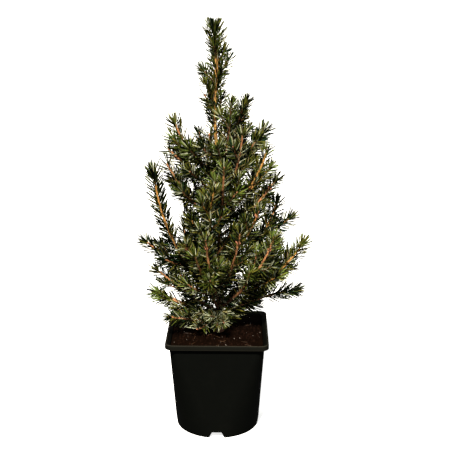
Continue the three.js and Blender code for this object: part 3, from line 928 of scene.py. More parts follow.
# Where the crown is open, on sky or on a bare stem: place across and up in the plane of the trunk, half
# sizes, and how open. Each closes again towards its edge, over less of it with a higher sharpness.
openings = [
    (-13, 560, 6, 10, 0.6), (21, 549, 6, 12, 0.5), (-22, 506, 8, 14, 0.9), (14, 499, 4, 8, 0.6),
    (-44, 450, 7, 9, 0.7), (-16, 448, 5, 8, 0.7), (-86, 401, 4, 8, 0.8), (-71, 443, 5, 7, 0.5),
    (7, 466, 5, 8, 0.5), (45, 436, 5, 7, 0.7), (77, 427, 6, 8, 0.4), (-75, 425, 6, 8, 0.9),
    (-77, 407, 5, 8, 0.7), (-20, 417, 8, 14, 0.5), (-38, 367, 7, 12, 0.6), (-15, 375, 7, 9, 0.4),
    (-58, 345, 6, 10, 0.7), (-53, 333, 6, 11, 0.9), (-60, 313, 5, 10, 0.85),
    (-53, 292, 6, 10, 0.95), (-82, 236, 10, 9, 0.8), (-69, 211, 9, 9, 0.9), (-59, 196, 9, 12, 0.95),
    (-88, 217, 5, 7, 0.6), (112, 221, 5, 5, 0.6), (-18, 187, 6, 6, 0.5), (12, 197, 5, 6, 0.4),
    (14, 300, 7, 14, 0.65), (34, 239, 8, 9, 0.5), (72, 312, 5, 7, 0.9), (-53, 188, 4, 7, 0.8),
    (-55, 396, 5, 8, 0.4), (112, 314, 5, 6, 0.4), (90, 221, 5, 7, 0.85), (-96, 372, 3, 12, 0.5),
    (-86, 380, 4, 8, 0.6), (99, 205, 6, 6, 0.6), (43, 475, 5, 6, 0.6), (-73, 177, 6, 6, 0.7),
    (91, 190, 11, 5, 0.9), (72, 194, 10, 6, 0.8), (-34, 144, 15, 9, 1), (-4, 446, 4.5, 30, 0.75),
    (-4, 491, 3, 15, 0.6), (10, 420, 4, 14, 0.5), (7, 356, 4, 22, 0.5), (-6, 322, 4, 20, 0.7),
    (2, 281, 5, 18, 0.8),
]
gapSharpness = 2.5


def openAt(point):
    # How open the crown is kept at a place, as the camera sees it: 0 is closed and 1 is clear
    camera = Vector(studio["cameraAt"])
    share = camera.y / (camera.y - point.y)
    across = blend(camera.x, point.x, share)
    height = blend(camera.z, point.z, share)
    spots = (
        (clear, 1 - ((across - x) / wide) ** 2 - ((height - z) / high) ** 2)
        for x, z, wide, high, clear in openings
    )
    return max((clear * min(inside * gapSharpness, 1) for clear, inside in spots if inside > 0), default=0)


def heading(turn):
    angle = math.radians(turn)
    return Vector((math.cos(angle), math.sin(angle), 0))


def trunkAt(height):
    # A smooth line through the trunk's named points, by height
    line = trunkShape["line"]
    spots = [point[2] for point in line]
    last = len(line) - 1
    k = min(max(sum(spot <= height for spot in spots) - 1, 0), last - 1)

    def slope(n):
        low, high = line[max(n - 1, 0)], line[min(n + 1, last)]
        return Vector((high[0] - low[0], high[1] - low[1])) / (high[2] - low[2])

    gap = spots[k + 1] - spots[k]
    t = (height - spots[k]) / gap
    if t < 0 or t > 1:
        end = Vector(line[0] if t < 0 else line[last])
        lean = slope(0 if t < 0 else last)
        return Vector((end.x + lean.x * (height - end.z), end.y + lean.y * (height - end.z), height))
    flat = (
        Vector(line[k][:2]) * (2 * t**3 - 3 * t**2 + 1)
        + slope(k) * gap * (t**3 - 2 * t**2 + t)
        + Vector(line[k + 1][:2]) * (3 * t**2 - 2 * t**3)
        + slope(k + 1) * gap * (t**3 - t**2)
    )
    return Vector((flat.x, flat.y, height))


def barkRadius(height):
    # On the leader the needle pegs thicken the stem, and old bud scales swell it where a year's growth sets
    # out, all within the sheath that the frame has there
    low, high = trunkShape["pegRange"]
    rise, fall = trunkShape["pegEase"]
    pegs = limited((height - low) / rise) * limited((high - height) / fall)
    swelling = trunkShape["swelling"] * swell(height, trunkShape["swellAt"], trunkShape["swellSpan"])
    return trunkRadius(height) + trunkShape["pegs"] * pegs + swelling


def trunkRadius(height):
    share = limited((height - peatTop) / (trunkShape["top"] - peatTop))
    flare = trunkShape["flare"] * math.exp(-max(height - peatTop, 0) / trunkShape["flareHeight"])
    return blend(trunkShape["footRadius"], trunkShape["topRadius"], share ** trunkShape["taper"]) + flare


# A shoot's line leaves along one heading and ends along another: start, knee and end
def shootCurve(start, leaving, arriving, length):
    knee = start + leaving * (length / 2)
    return start, knee, knee + arriving * (length / 2)


def pointOn(curve, share):
    start, knee, end = curve
    return start * (1 - share) ** 2 + knee * (2 * share * (1 - share)) + end * share**2


def headingOn(curve, share):
    start, knee, end = curve
    return ((knee - start) * (1 - share) + (end - knee) * share).normalized()


def lengthOf(curve):
    spots = [pointOn(curve, k / 24) for k in range(25)]
    return sum((b - a).length for a, b in zip(spots, spots[1:]))


def boughCurve(bough, start):
    chord = heading(bough["turn"]) * bough["reach"] + up * bough["tip"] - start
    along = chord.normalized()
    beside = along.cross(up).normalized()
    over = beside.cross(along)
    sway = over * math.tan(math.radians(bough.get("bend", 6)))
    sway += beside * math.tan(math.radians(bough.get("swing", 0)))
    tuft = growth["needleLength"] * 0.7
    length = (chord.length - tuft) * math.hypot(1, sway.length)
    return shootCurve(start, (along - sway).normalized(), (along + sway).normalized(), length)


def runOf(curve, start, end, pitch):
    steps = max(2, round(lengthOf(curve) * (end - start) / pitch))
    return [pointOn(curve, blend(start, end, k / steps)) for k in range(steps + 1)]


# What each shoot and limb takes up, as tapering rods, so that twigs keep out of one another
taken = []


def apart(a, b, c, d):
    # The gap between two stretches, and how far along each it falls
    u, v, w = b - a, d - c, a - c
    uu, uv, vv, uw, vw = u.dot(u), u.dot(v), v.dot(v), u.dot(w), v.dot(w)
    bottom = uu * vv - uv * uv
    s = limited((uv * vw - vv * uw) / bottom) if bottom > 1e-9 else 0
    t = limited((uv * s + vw) / vv) if vv > 1e-9 else 0
    s = limited((uv * t - uw) / uu) if uu > 1e-9 else 0
    return (w + u * s - v * t).length, s, t


def rodOf(owner, start, end, startRadius, endRadius):
    return owner, start, end, startRadius, endRadius, (start + end) / 2, (end - start).length / 2


def isFree(rod, passed):
    # Whether a rod keeps clear of all that is taken up, but for what is passed by name
    start, end, startRadius, endRadius, middle, half = rod[1:]
    widest = max(startRadius, endRadius)
    for other in taken:
        if other[0] in passed:
            continue
        room = widest + max(other[3], other[4]) + growth["clearance"]
        if (middle - other[5]).length > half + other[6] + room:
            continue
        gap, s, t = apart(start, end, other[1], other[2])
        thick = blend(startRadius, endRadius, s) + blend(other[3], other[4], t)
        if gap <= thick + growth["clearance"]:
            return False
    return True


def takeAlong(owner, points, radii):
    for k in range(len(points) - 1):
        taken.append(rodOf(owner, points[k], points[k + 1], radii[k], radii[k + 1]))


def budPoint(points):
    return points[-1] + (points[-1] - points[-2]).normalized() * (growth["needleLength"] * 0.7)


def clearOfPot(point):
    out = max(abs(point.x), abs(point.y))
    if out > potShape["rimWidth"] / 2 + growth["pastRim"]:
        return point.z > growth["aboveFloor"]
    overRim = out > potShape["bodyWidth"] / 2 - growth["overRim"]
    below = potShape["height"] if overRim else peatTop + growth["abovePeat"]
    return point.z > below + growth["abovePot"]


def tapered(count, start, end):
    return [blend(start, end, k / (count - 1)) for k in range(count)]


def forkedFrom(curve, share, side, random):
    # The two headings of a twig that forks off to one side and bends forwards
    along = headingOn(curve, share)
    beside = along.cross(up).normalized()
    over = beside.cross(along)
    roll = math.radians(side + growth["rollSpread"] * (random() - 0.4))
    fork = math.radians(growth["forkAngle"] + growth["forkSpread"] * (random() - 0.5))
    leaving = along * math.cos(fork) + (beside * math.cos(roll) + over * math.sin(roll)) * math.sin(fork)
    return leaving, (leaving + along * growth["forwards"] + up * growth["upwards"]).normalized()


def sideTwigs(curve, start, clean, random):
    length = lengthOf(curve)
    twigs = []
    side = 0 if random() < 0.5 else 180
    back = max(growth["firstTwig"], clean * length)
    while back < length * (1 - start) - 8:
        share = 1 - back / length
        leaving, arriving = forkedFrom(curve, share, side, random)
        twigLength = min(growth["twigShare"] * back + 6 * random(), growth["longestTwig"])
        side += 180
        if twigLength >= growth["shortestTwig"]:
            twigs.append(shootCurve(pointOn(curve, share), leaving, arriving, twigLength))
        back += growth["twigPitch"]
    return twigs


def fineTwigs(curve, start, clean, random):
    # The same fork again, closer set and shorter
    length = lengthOf(curve)
    twigs = []
    side = 90 if random() < 0.5 else 270
    back = max(growth["fineFirst"], clean * length) + 6 * random()
    while back < length * (1 - start) - 6:
        share = 1 - back / length
        leaving, arriving = forkedFrom(curve, share, side, random)
        twigLength = min(growth["fineShare"] * back + 5 * random(), growth["fineLongest"])
        side += 137
        if twigLength >= growth["fineShortest"]:
            twigs.append(shootCurve(pointOn(curve, share), leaving, arriving, twigLength))
        back += growth["finePitch"] * (0.8 + 0.4 * random())
    return twigs


def hasRoom(owner, points, room, passed):
    for k, point in enumerate([*points[1:], budPoint(points)]):
        rod = rodOf(owner, points[k], point, room, room)
        if not clearOfPot(point) or not isFree(rod, passed):
            return False
    return True


def addShoot(shoots, mass, curve, order, room):
    thick, thin = growth["twigThinner"][order]
    points = runOf(curve, 0, 1, growth["pitch"])
    radii = tapered(len(points), growth["twigRadius"] * thick, growth["tipRadius"] * thin)
    if not hasRoom(mass, points, room, {mass}):
        return
    ends = radii[0], radii[-1]
    shoots.append({"mass": mass, "curve": curve, "start": 0, "radii": ends, "order": order})
    takeAlong(mass, points, radii)
    taken.append(rodOf(mass, points[-1], budPoint(points), growth["tipRadius"], 0.3))


def addShortShoot(shoots, mass, spray, height, passed):
    # A short shoot from the trunk, where there is room for it
    curve = boughCurve(spray, trunkAt(height))
    points = runOf(curve, 0, 1, growth["pitch"])
    if hasRoom(mass, points[1:], growth[mass + "Room"], passed):
        radii = growth[mass + "Radii"]
        shoots.append({"mass": mass, "curve": curve, "start": 0, "radii": radii, "order": 2})
        takeAlong(mass, points, [growth["shortRadius"]] * len(points))


def growSkeleton():
    # Limbs and main stems first, then forks and side twigs, then fine twigs, as in the part's source
    heights = [blend(peatTop + 0.3, trunkShape["top"], (k / 16) ** 1.35) for k in range(17)]
    takeAlong("trunk", [trunkAt(height) for height in heights], [trunkRadius(height) for height in heights])
    shoots = []
    mains = {}
    for index, bough in enumerate(boughs):
        curve = boughCurve(bough, trunkAt(bough["foot"]))
        bare = bough.get("bare", 0)
        mass = bough["name"]
        points = runOf(curve, bare, 1, growth["pitch"])
        radii = tapered(len(points), growth["stemRadius"], growth["tipRadius"])
        main = {"mass": mass, "curve": curve, "start": bare, "radii": (radii[0], radii[-1]), "order": 0}
        main["random"] = randomFrom(1000 + 37 * index)
        main["clean"] = bough.get("clean", 0)
        shoots.append(main)
        mains[mass] = main
        takeAlong(mass, points, radii)
        taken.append(rodOf(mass, points[-1], budPoint(points), growth["tipRadius"], 0.3))
        if bare:
            takeAlong("bough_" + mass, runOf(curve, 0, bare, growth["limbPitch"]), growth["limbRods"])
    for fork in forks + fillTwigs:
        curve = boughCurve(fork, pointOn(mains[fork["on"]]["curve"], fork["at"]))
        addShoot(shoots, fork["on"], curve, 1, growth["twigRoom"])
    for main in mains.values():
        for curve in sideTwigs(main["curve"], main["start"], main["clean"], main["random"]):
            addShoot(shoots, main["mass"], curve, 1, growth["twigRoom"])
    for shoot in leaderShoots:
        curve = boughCurve(shoot, trunkAt(shoot["foot"]))
        radii = growth["leaderRadii"]
        shoots.append({"mass": "leader", "curve": curve, "start": 0.06, "radii": radii, "order": 1})
    for n in range(growth["innerShoots"]):
        # These fill the heart of the plant
        share = n / growth["innerShoots"]
        height = blend(*growth["innerHeights"], share**1.15)
        reach = blend(*growth["innerReaches"], share)
        spray = {"turn": goldenTurn * n + 20, "reach": reach, "tip": height + 18, "bend": 8}
        addShortShoot(shoots, "inner", spray, height, {"inner", "trunk"})
    for n in range(growth["footShoots"]):
        # These droop and hide the trunk's foot in front, in tiers of four
        tier, place = divmod(n, 4)
        height = 162 + 5 * place + 9 * tier
        turn = 212 + 31 * place + 13 * tier
        spray = {"turn": turn, "reach": 34 - 3 * tier, "tip": height + 4, "bend": -10}
        addShortShoot(shoots, "foot", spray, height, {"foot", "inner", "trunk"})
    grown = [shoot for shoot in shoots if shoot["mass"] not in ("leader", "inner", "foot")]
    for n, shoot in enumerate(grown):
        random = randomFrom(5000 + 91 * n)
        clean = growth["fineClean"] if shoot.get("clean") else 0
        for curve in fineTwigs(shoot["curve"], shoot["start"], clean, random):
            if openAt(pointOn(curve, 0.8)) < growth["mostOpen"]:
                addShoot(shoots, shoot["mass"], curve, 2, growth["fineRoom"])
    counts = [sum(shoot["order"] == k for shoot in shoots) for k in range(3)]
    print("skeleton ready", counts, "shoots by order")
    return shoots


shoots = growSkeleton()


# Bark: tubes along the lines, then relief by moving each corner in or out
def tubeMesh(name, runs, resolution):
    curve = bpy.data.curves.new(name, "CURVE")
    curve.dimensions = "3D"
    curve.bevel_depth = 1
    curve.bevel_resolution = resolution
    curve.use_fill_caps = True
    for points, radii in runs:
        spline = curve.splines.new("POLY")
        spline.points.add(len(points) - 1)
        spline.points.foreach_set("co", [c for point in points for c in (*point, 1)])
        spline.points.foreach_set("radius", radii)
    carrier = bpy.data.objects.new(name, curve)
    mesh = bpy.data.meshes.new_from_object(carrier)
    bpy.data.objects.remove(carrier)
    bpy.data.curves.remove(curve)
    return mesh


def roughened(mesh, name, height):
    # Moves each corner along its normal by the height that a function gives for its place
    bm = bmesh.new()
    bm.from_mesh(mesh)
    bmesh.ops.remove_doubles(bm, verts=bm.verts, dist=0.001)
    bm.normal_update()
    moves = [vert.normal * height(vert.co) for vert in bm.verts]
    for vert, move in zip(bm.verts, moves):
        vert.co += move
    bpy.data.meshes.remove(mesh)
    return meshFrom(bm, name)


def barkRelief(place):
    # Scaly plates about 4 mm long with grooves between, finer up the stem
    share = limited((place.z - peatTop) / 300)
    plates = noise.cell(Vector((place.x / 2.6, place.y / 2.6, place.z / 4.5)))
    upright = Vector((place.x / 2.2, place.y / 2.2, place.z / 6))
    grooves = noise.ridged_multi_fractal(upright, 0.9, 2.0, 3, 0.9, 1.8)
    rough = noise.noise(place / 0.9)
    uneven = 0.35 * plates + 0.5 * (grooves - 1) + 0.35 * rough
    return trunkShape["relief"] * blend(1, 0.55, share) * uneven


def shootRelief(place):
    # The little pegs that needles stand on, a millimetre apart
    return 0.34 * noise.noise(place / 1.1) + 0.22 * noise.noise(place / 2.6)


def scalyBark():
    # Young spruce bark: thin grey-brown scales low down, smoother and tan to orange towards the top,
    # matt with a faint waxy sheen, and darker in the grooves
    material, tree, shader = newMaterial("scalySpruceBark", {"Roughness": 0.82, "Specular IOR Level": 0.35})
    oldDark, oldLight = trunkShape["oldBark"]
    youngDark, youngLight = trunkShape["youngBark"]
    newWood = toLinear(trunkShape["newWood"])
    place = addNode(tree, "TexCoord", output="Object")
    stretch = addNode(tree, "Mapping", {"Scale": (1.0, 1.0, 0.4)}, {"Vector": place})
    # Scales 2.4 mm wide and 6 mm long
    scales = addNode(
        tree, "TexNoise", {"Scale": 420.0, "Detail": 6.0, "Roughness": 0.7}, {"Vector": stretch}
    )
    mottle = addNode(tree, "MapRange", {"From Min": 0.4, "From Max": 0.62}, {"Value": scales})
    height = addNode(tree, "SeparateXYZ", links={"Vector": place}, output="Z")
    rise = addNode(tree, "MapRange", {"From Min": 0.25, "From Max": 0.44}, {"Value": height})
    low = addNode(
        tree, "Mix",
        {"data_type": "RGBA", 6: toLinear(oldDark), 7: toLinear(oldLight)},
        {0: scales}, output=2,
    )
    high = addNode(
        tree, "Mix",
        {"data_type": "RGBA", 6: toLinear(youngDark), 7: toLinear(youngLight)},
        {0: mottle}, output=2,
    )
    colour = addNode(tree, "Mix", {"data_type": "RGBA"}, {0: rise, 6: low, 7: high}, output=2)
    # The newest wood, under the top tuft
    young = addNode(tree, "MapRange", {"From Min": 0.566, "From Max": 0.578}, {"Value": height})
    topped = addNode(
        tree, "Mix", {"data_type": "RGBA", 7: newWood}, {0: young, 6: colour}, output=2
    )
    relief = addNode(tree, "Bump", {"Strength": 0.6, "Distance": 0.0006}, {"Height": scales})
    tree.links.new(topped, shader.inputs["Base Color"])
    tree.links.new(relief, shader.inputs["Normal"])
    return material


stemShape = {
    "colours": {
        "orange": ("#612d12", "#e9a36c"),
        "golden": ("#6b3d14", "#dda253"),
        "young": ("#38260f", "#7e6032"),
    },
    "oldWood": "#2a170d",
    "pitch": 2.2,
    "thicker": (1.14, 1.1),  # by the needle pegs, at its foot and at its tip
}


def grownShootBark(name, dark, light):
    # Last season's shoots: ribbed between the needle pegs, orange-brown to golden with a slight gloss
    material, tree, shader = newMaterial(name, {"Roughness": 0.6, "Specular IOR Level": 0.4})
    place = addNode(tree, "TexCoord", output="Object")
    # Ribs and pegs 2.2 mm apart
    ribs = addNode(tree, "TexNoise", {"Scale": 460.0, "Detail": 5.0, "Roughness": 0.7}, {"Vector": place})
    share = addNode(tree, "MapRange", {"From Min": 0.32, "From Max": 0.68}, {"Value": ribs})
    colour = addNode(
        tree, "Mix", {"data_type": "RGBA", 6: toLinear(dark), 7: toLinear(light)}, {0: share}, output=2
    )
    flat = addNode(tree, "Mapping", {"Scale": (1.0, 1.0, 0.0)}, {"Vector": place})
    reach = addNode(tree, "VectorMath", {"operation": "LENGTH"}, {0: flat}, output="Value")
    # Darker older wood by the trunk
    age = addNode(
        tree, "MapRange",
        {"From Min": 0.03, "From Max": 0.062, "To Min": 0.8, "To Max": 0.0},
        {"Value": reach},
    )
    aged = addNode(
        tree, "Mix", {"data_type": "RGBA", 7: toLinear(stemShape["oldWood"])}, {0: age, 6: colour}, output=2
    )
    relief = addNode(tree, "Bump", {"Strength": 0.5, "Distance": 0.0004}, {"Height": ribs})
    tree.links.new(aged, shader.inputs["Base Color"])
    tree.links.new(relief, shader.inputs["Normal"])
    return material


def buildBark():
    top = trunkShape["top"] + 1
    count = round((top - peatTop + 4) / trunkShape["ringPitch"])
    heights = [blend(peatTop - 4, top, k / count) for k in range(count + 1)]
    trunk = ([trunkAt(height) for height in heights], [barkRadius(height) for height in heights])
    limbs = []
    for bough in boughs:
        bare = bough.get("bare", 0)
        if bare:
            curve = boughCurve(bough, trunkAt(bough["foot"]))
            points = runOf(curve, 0, bare + 0.02, 1.5)
            limbs.append((points, tapered(len(points), *growth["limbRadii"])))
    bark = scalyBark()
    mesh = roughened(tubeMesh("trunkBark", [trunk], 8), "trunkBark", barkRelief)
    keepPiece("trunkBark", mesh, bark, ["trunk"])
    mesh = roughened(tubeMesh("boughBark", limbs, 4), "boughBark", barkRelief)
    names = ["bough_" + bough["name"] for bough in boughs if bough.get("bare")]
    keepPiece("boughBark", mesh, bark, names)
    print("bark ready")


def stemTone(shoot):
    if shoot["order"] == 2:
        return "young"
    return "golden" if shoot["mass"] in sprays["golden"] else "orange"


def buildShootStems():
    atFoot, atTip = stemShape["thicker"]
    for tone, (dark, light) in stemShape["colours"].items():
        runs = []
        for shoot in shoots:
            if stemTone(shoot) == tone:
                points = runOf(shoot["curve"], shoot["start"], 1, stemShape["pitch"])
                wide, thin = shoot["radii"]
                runs.append((points, tapered(len(points), wide * atFoot, thin * atTip)))
        mesh = roughened(tubeMesh(tone + "Stems", runs, 2), tone + "Stems", shootRelief)
        keepPiece(tone + "Stems", mesh, grownShootBark(tone + "ShootBark", dark, light), ())
        print(tone, "stems ready", len(mesh.polygons), "faces")


# Buds: one at the end of each shoot, and rings of them where a bough's new growth sets out
budShape = {
    "length": 5.0,
    "width": 3.1,
    "leaderHeight": 593,
    "leaderLength": 5.2,
    "whorl": 4,  # buds in a ring
    "whorlSpread": 64,  # degrees from one to the next
    "sideSize": 0.8,  # of the end buds on side twigs
    "slender": 0.62,  # their width, of their length
    "colour": ("#7c3a20", "#dd9a74"),
    "rings": {  # the share of the bough's length, and the compass turn of the side that shows them
        "front_right": (0.86, 278),
        "front_right_long": (0.86, 283),
        "front_mid": (0.9, 266),
        "left_front_mid": (0.93, 258),
        "right_upper": (0.85, 275),
        "front_right_mid": (0.93, 280),
    },
}


def paperyBudScale():
    # Resting spruce buds: overlapping papery scales, red-brown with paler rims, and slightly resinous
    material, tree, shader = newMaterial("paperyBudScale", {"Roughness": 0.45, "Specular IOR Level": 0.4})
    place = addNode(tree, "TexCoord", output="Object")
    scales = addNode(tree, "TexVoronoi", {"Scale": 900.0}, {"Vector": place})  # scales 1.1 mm across
    dark, light = budShape["colour"]
    colour = addNode(
        tree, "Mix", {"data_type": "RGBA", 6: toLinear(dark), 7: toLinear(light)}, {0: scales}, output=2
    )
    tree.links.new(colour, shader.inputs["Base Color"])
    return material


def budTemplate():
    # A plump pointed bud along +Z, one long and one wide
    bm = bmesh.new()
    bmesh.ops.create_uvsphere(bm, u_segments=8, v_segments=6, radius=0.5)
    for vert in bm.verts:
        rise = vert.co.z + 0.5
        narrow = blend(1.1, 0.55, rise)
        vert.co = (vert.co.x * narrow, vert.co.y * narrow, rise)
    return templateFrom(bm)


def budRow(foot, way, length, width):
    beside = way.orthogonal().normalized()
    return foot, beside * width, way.cross(beside) * width, way * length


def buildBuds():
    random = randomFrom(77)
    rows = []
    for shoot in shoots:
        if shoot["order"] > 1:
            continue
        along = headingOn(shoot["curve"], 1)
        size = budShape["length"] * (0.8 + 0.3 * random())
        size *= 1 if shoot["order"] == 0 else budShape["sideSize"]
        foot = pointOn(shoot["curve"], 1) - along * 0.6
        rows.append(budRow(foot, along, size, size * budShape["slender"]))
        ring = budShape["rings"].get(shoot["mass"])
        if shoot["order"] or not ring:
            continue
        share, turn = ring
        along = headingOn(shoot["curve"], share)
        facing = (heading(turn) - along * along.dot(heading(turn))).normalized()
        for n in range(budShape["whorl"]):
            angle = budShape["whorlSpread"] * (n - 1.5) + 40 * (random() - 0.5)
            outward = Matrix.Rotation(math.radians(angle), 3, along) @ facing
            foot = pointOn(shoot["curve"], share + 0.02 * random()) + outward * 1.1
            way = (along * (1.2 + 0.8 * random()) + outward).normalized()
            size = 0.75 + 0.35 * random()
            rows.append(budRow(foot, way, budShape["length"] * size, budShape["width"] * size))
    leaderFoot = trunkAt(budShape["leaderHeight"])
    rows.append(budRow(leaderFoot, up, budShape["leaderLength"], budShape["width"] * 1.1))
    mesh = joinedMesh("restingBuds", *copiesOf(budTemplate(), rows))
    keepPiece("restingBuds", mesh, paperyBudScale(), ())
    print("buds ready", len(rows), "buds,", len(mesh.polygons), "faces")


buildBark()
buildShootStems()
buildBuds()


# Needles: of life's length and a little wider, four-sided and slightly curved, dealt out shoot by shoot
needleShape = {
    "length": 16.8,
    "width": 1.3,
    "thick": 0.82,  # of the width
    "fromBare": 0.4,  # how far along a bough's bare limb they set out
    "perMillimetre": 1.4,
    "endReach": 32,  # the end of a shoot that is set closer
    "endExtra": 0.95,  # needles more to a millimetre there
    "fineShare": 0.35,  # of the closer set end and the tuft, on the fine twigs
    "longer": 1.2,  # the needles of the boughs that carry long ones
    "wider": {"left_tall": 1.15},
    "slender": 0.62,  # the width of those at the foot
    "atFoot": 0.74,  # and their length
    "slim": {"paleHighlit": 0.72, "straw": 0.8, "fresh": 0.9, "deep": 1.28, "blue": 1.15},  # widths by tone, the pale ones narrow like painted highlight streaks
    "thickly": {  # how closely some boughs are set, against the rest
        "leader": 0.95,
        "left_tall": 1.75,
        "left_top": 1.2,
        "right_top": 1.25,
        "right_long": 1.2,
        "right_flat": 1.5,
        "foot": 1.7,
        "front_skirt": 1.6,
    },
    "backShare": 0.72,  # how thickly the boughs at the back are set, which let the sky through
    "leanFoot": 56,  # degrees from the shoot, at its foot
    "leanTip": 43,
    "leanSpread": 14,
    "tuftLean": (8, 48),  # of the needles round a bud
    "parting": 0.95,  # how far the needles thin out on the side that shows the stem
    "partingWidth": 54,
    "partingPatch": 20,  # the stem shows in patches about this long
    "fineSize": 0.88,  # the length of the needles on fine twigs
    "curve": 0.08,
    "tuft": 16,  # needles round each bud
    "mostInPiece": 8000,
    "freshReach": 28,  # of the fresh growth at a tip
    "sheen": {"deep": 0.07, "blue": 0.1, "mid": 0.28, "olive": 0.34},  # of the wax, by tone
    "paleSheen": 0.4,  # and of the lighter tones
    "shares": {  # how the tones are dealt out, with the rest deep
        "plain": {"mid": 0.21, "blue": 0.08, "olive": 0.16, "paleHighlit": 0.13, "straw": 0.04},
        "dark": {"mid": 0.2, "blue": 0.12, "olive": 0.1, "paleHighlit": 0.08},
        "fresh": {"mid": 0.22, "olive": 0.19, "fresh": 0.26, "paleHighlit": 0.11},
        "leader": {"mid": 0.25, "blue": 0.1, "olive": 0.22, "fresh": 0.07, "paleHighlit": 0.05},
        "foot": {"mid": 0.2, "blue": 0.1, "olive": 0.1, "paleHighlit": 0.26, "straw": 0.05},
    },
    "tones": {
        "deep": ("#050801", "#0e1405"),
        "mid": ("#343c13", "#5a6422"),
        "blue": ("#122314", "#274129"),
        "olive": ("#4e4b16", "#767129"),
        # partly paler needles and partly painted highlights
        "paleHighlit": ("#a1a578", "#d9dcba"),
        "fresh": ("#4f6225", "#83963f"),
        "straw": ("#8a7c4a", "#b6a974"),
    },
}


def needleTemplate():
    # A four-sided rod along +Z, one long and one wide, that keeps its width to a short point
    bm = bmesh.new()
    bmesh.ops.create_uvsphere(bm, u_segments=4, v_segments=4, radius=0.5)
    rings = sorted({round(vert.co.z, 3) for vert in bm.verts})
    heights = dict(zip(rings, (0, 0.05, 0.5, 0.86, 1)))
    widths = dict(zip(rings, (0, 0.72, 1, 0.82, 0)))
    for vert in bm.verts:
        ring = round(vert.co.z, 3)
        wide = math.hypot(vert.co.x, vert.co.y)
        share = widths[ring] * 0.5 / wide if wide > 0.01 else 1
        vert.co = (vert.co.x * share, vert.co.y * share, heights[ring])
    return templateFrom(bm)


def waxyNeedle(name, dark, light, sheen):
    # A spruce needle: a stiff leaf with a thin wax coat, so a broad soft highlight along each flat,
    # and a tone that changes a little from needle to needle
    material, tree, shader = newMaterial(
        name, {"Roughness": 0.4, "Specular IOR Level": sheen, "Base Color": toLinear(dark)}
    )
    place = addNode(tree, "TexCoord", output="Object")
    # Tones change every 6 mm, about a needle apart
    mottle = addNode(tree, "TexNoise", {"Scale": 160.0, "Detail": 2.0}, {"Vector": place})
    share = addNode(tree, "MapRange", {"From Min": 0.35, "From Max": 0.65}, {"Value": mottle})
    colour = addNode(
        tree, "Mix", {"data_type": "RGBA", 6: toLinear(dark), 7: toLinear(light)}, {0: share}, output=2
    )
    tree.links.new(colour, shader.inputs["Base Color"])
    return material


def toneOf(mass, order, fromTip, random):
    # The tone of one needle by its shoot and by how far it is from the tip
    draw = random()
    kind = "plain"
    if mass in sprays["dark"]:
        kind = "dark"
    elif mass == "leader":
        kind = "leader"
    elif mass in ("foot", "front_skirt"):
        kind = "foot"
    elif mass in sprays["fresh"] and order < 2 and fromTip < needleShape["freshReach"] * (0.5 + random()):
        kind = "fresh"
    for tone, share in needleShape["shares"][kind].items():
        draw -= share
        if draw <= 0:
            return tone
    return "deep"


def onStem(axis, facing):
    # A heading turned square to a stem
    return (facing - axis * facing.dot(axis)).normalized()


def isParted(shows, share, axis, outward, place, random):
    # Whether a needle is missing where they part and show the stem, patch by patch
    side, low, high = shows
    if not low < share < high:
        return False
    angle = math.degrees(onStem(axis, heading(side)).angle(outward, 0))
    patch = noise.noise(Vector((place, 0, 0)))
    parting = needleShape["parting"] * limited(1 + 1.8 * patch)
    return random() < parting * swell(angle, 0, needleShape["partingWidth"])


def needlesOn(shoot, rows, random):
    mass, order, curve = shoot["mass"], shoot["order"], shoot["curve"]
    start = shoot["start"] * needleShape["fromBare"]
    length = lengthOf(curve) * (1 - start)
    thickly = needleShape["thickly"].get(mass, 1)
    if mass in sprays["dark"] and mass not in sprays["long"]:
        thickly = needleShape["backShare"]
    count = round(length * needleShape["perMillimetre"] * thickly)
    shows = sprays["shows"].get(mass) if order == 0 else None
    spot = random() * 50
    closer = min(needleShape["endReach"] / length, 1)
    ending = needleShape["fineShare"] if order == 2 else 1
    extra = round(closer * length * needleShape["endExtra"] * thickly * ending)
    longer = needleShape["longer"] if mass in sprays["long"] else 1
    needleWidth = needleShape["width"] * needleShape["wider"].get(mass, 1)
    if mass in ("foot", "front_skirt"):
        needleWidth *= needleShape["slender"]
        longer = needleShape["atFoot"]
    for n in range(count + extra + round(needleShape["tuft"] * ending)):
        inTuft = n >= count + extra
        along = (n + random()) / count
        if inTuft:
            along = 1 - 0.02 * random()
        elif n >= count:
            along = 1 - closer * (n - count + random()) / extra
        share = blend(start, 1, along)
        axis = headingOn(curve, share)
        beside = axis.cross(up).normalized()
        over = beside.cross(axis)
        around = goldenTurn * n + 30 * random()
        outward = beside * math.cos(math.radians(around)) + over * math.sin(math.radians(around))
        place = along * length / needleShape["partingPatch"] + spot
        if shows and not inTuft and isParted(shows, share, axis, outward, place, random):
            continue
        lean = blend(needleShape["leanFoot"], needleShape["leanTip"], along)
        lean += needleShape["leanSpread"] * (random() - 0.5)
        size = needleShape["length"] * longer * (0.86 + 0.26 * random())
        if inTuft:
            lean = blend(*needleShape["tuftLean"], random())
        if order == 2:
            size *= needleShape["fineSize"]
        way = axis * math.cos(math.radians(lean)) + outward * math.sin(math.radians(lean))
        foot = pointOn(curve, share) + outward * blend(*shoot["radii"], along) * 0.6
        tip = foot + way * size
        if not clearOfPot(tip) or not clearOfPot(foot.lerp(tip, 0.5)):
            continue
        if random() < openAt(foot.lerp(tip, 0.6)):
            continue
        tone = toneOf(mass, order, (1 - along) * length, random)
        rows[tone].append(needleRow(foot, way, axis, size, needleWidth * needleShape["slim"].get(tone, 1)))


def needleRow(foot, way, axis, size, wide):
    # A needle's foot, heading and flat, its length, the pull towards its stem that bends it, and its width
    return foot, way, way.cross(axis).normalized(), size, axis - way * axis.dot(way), wide


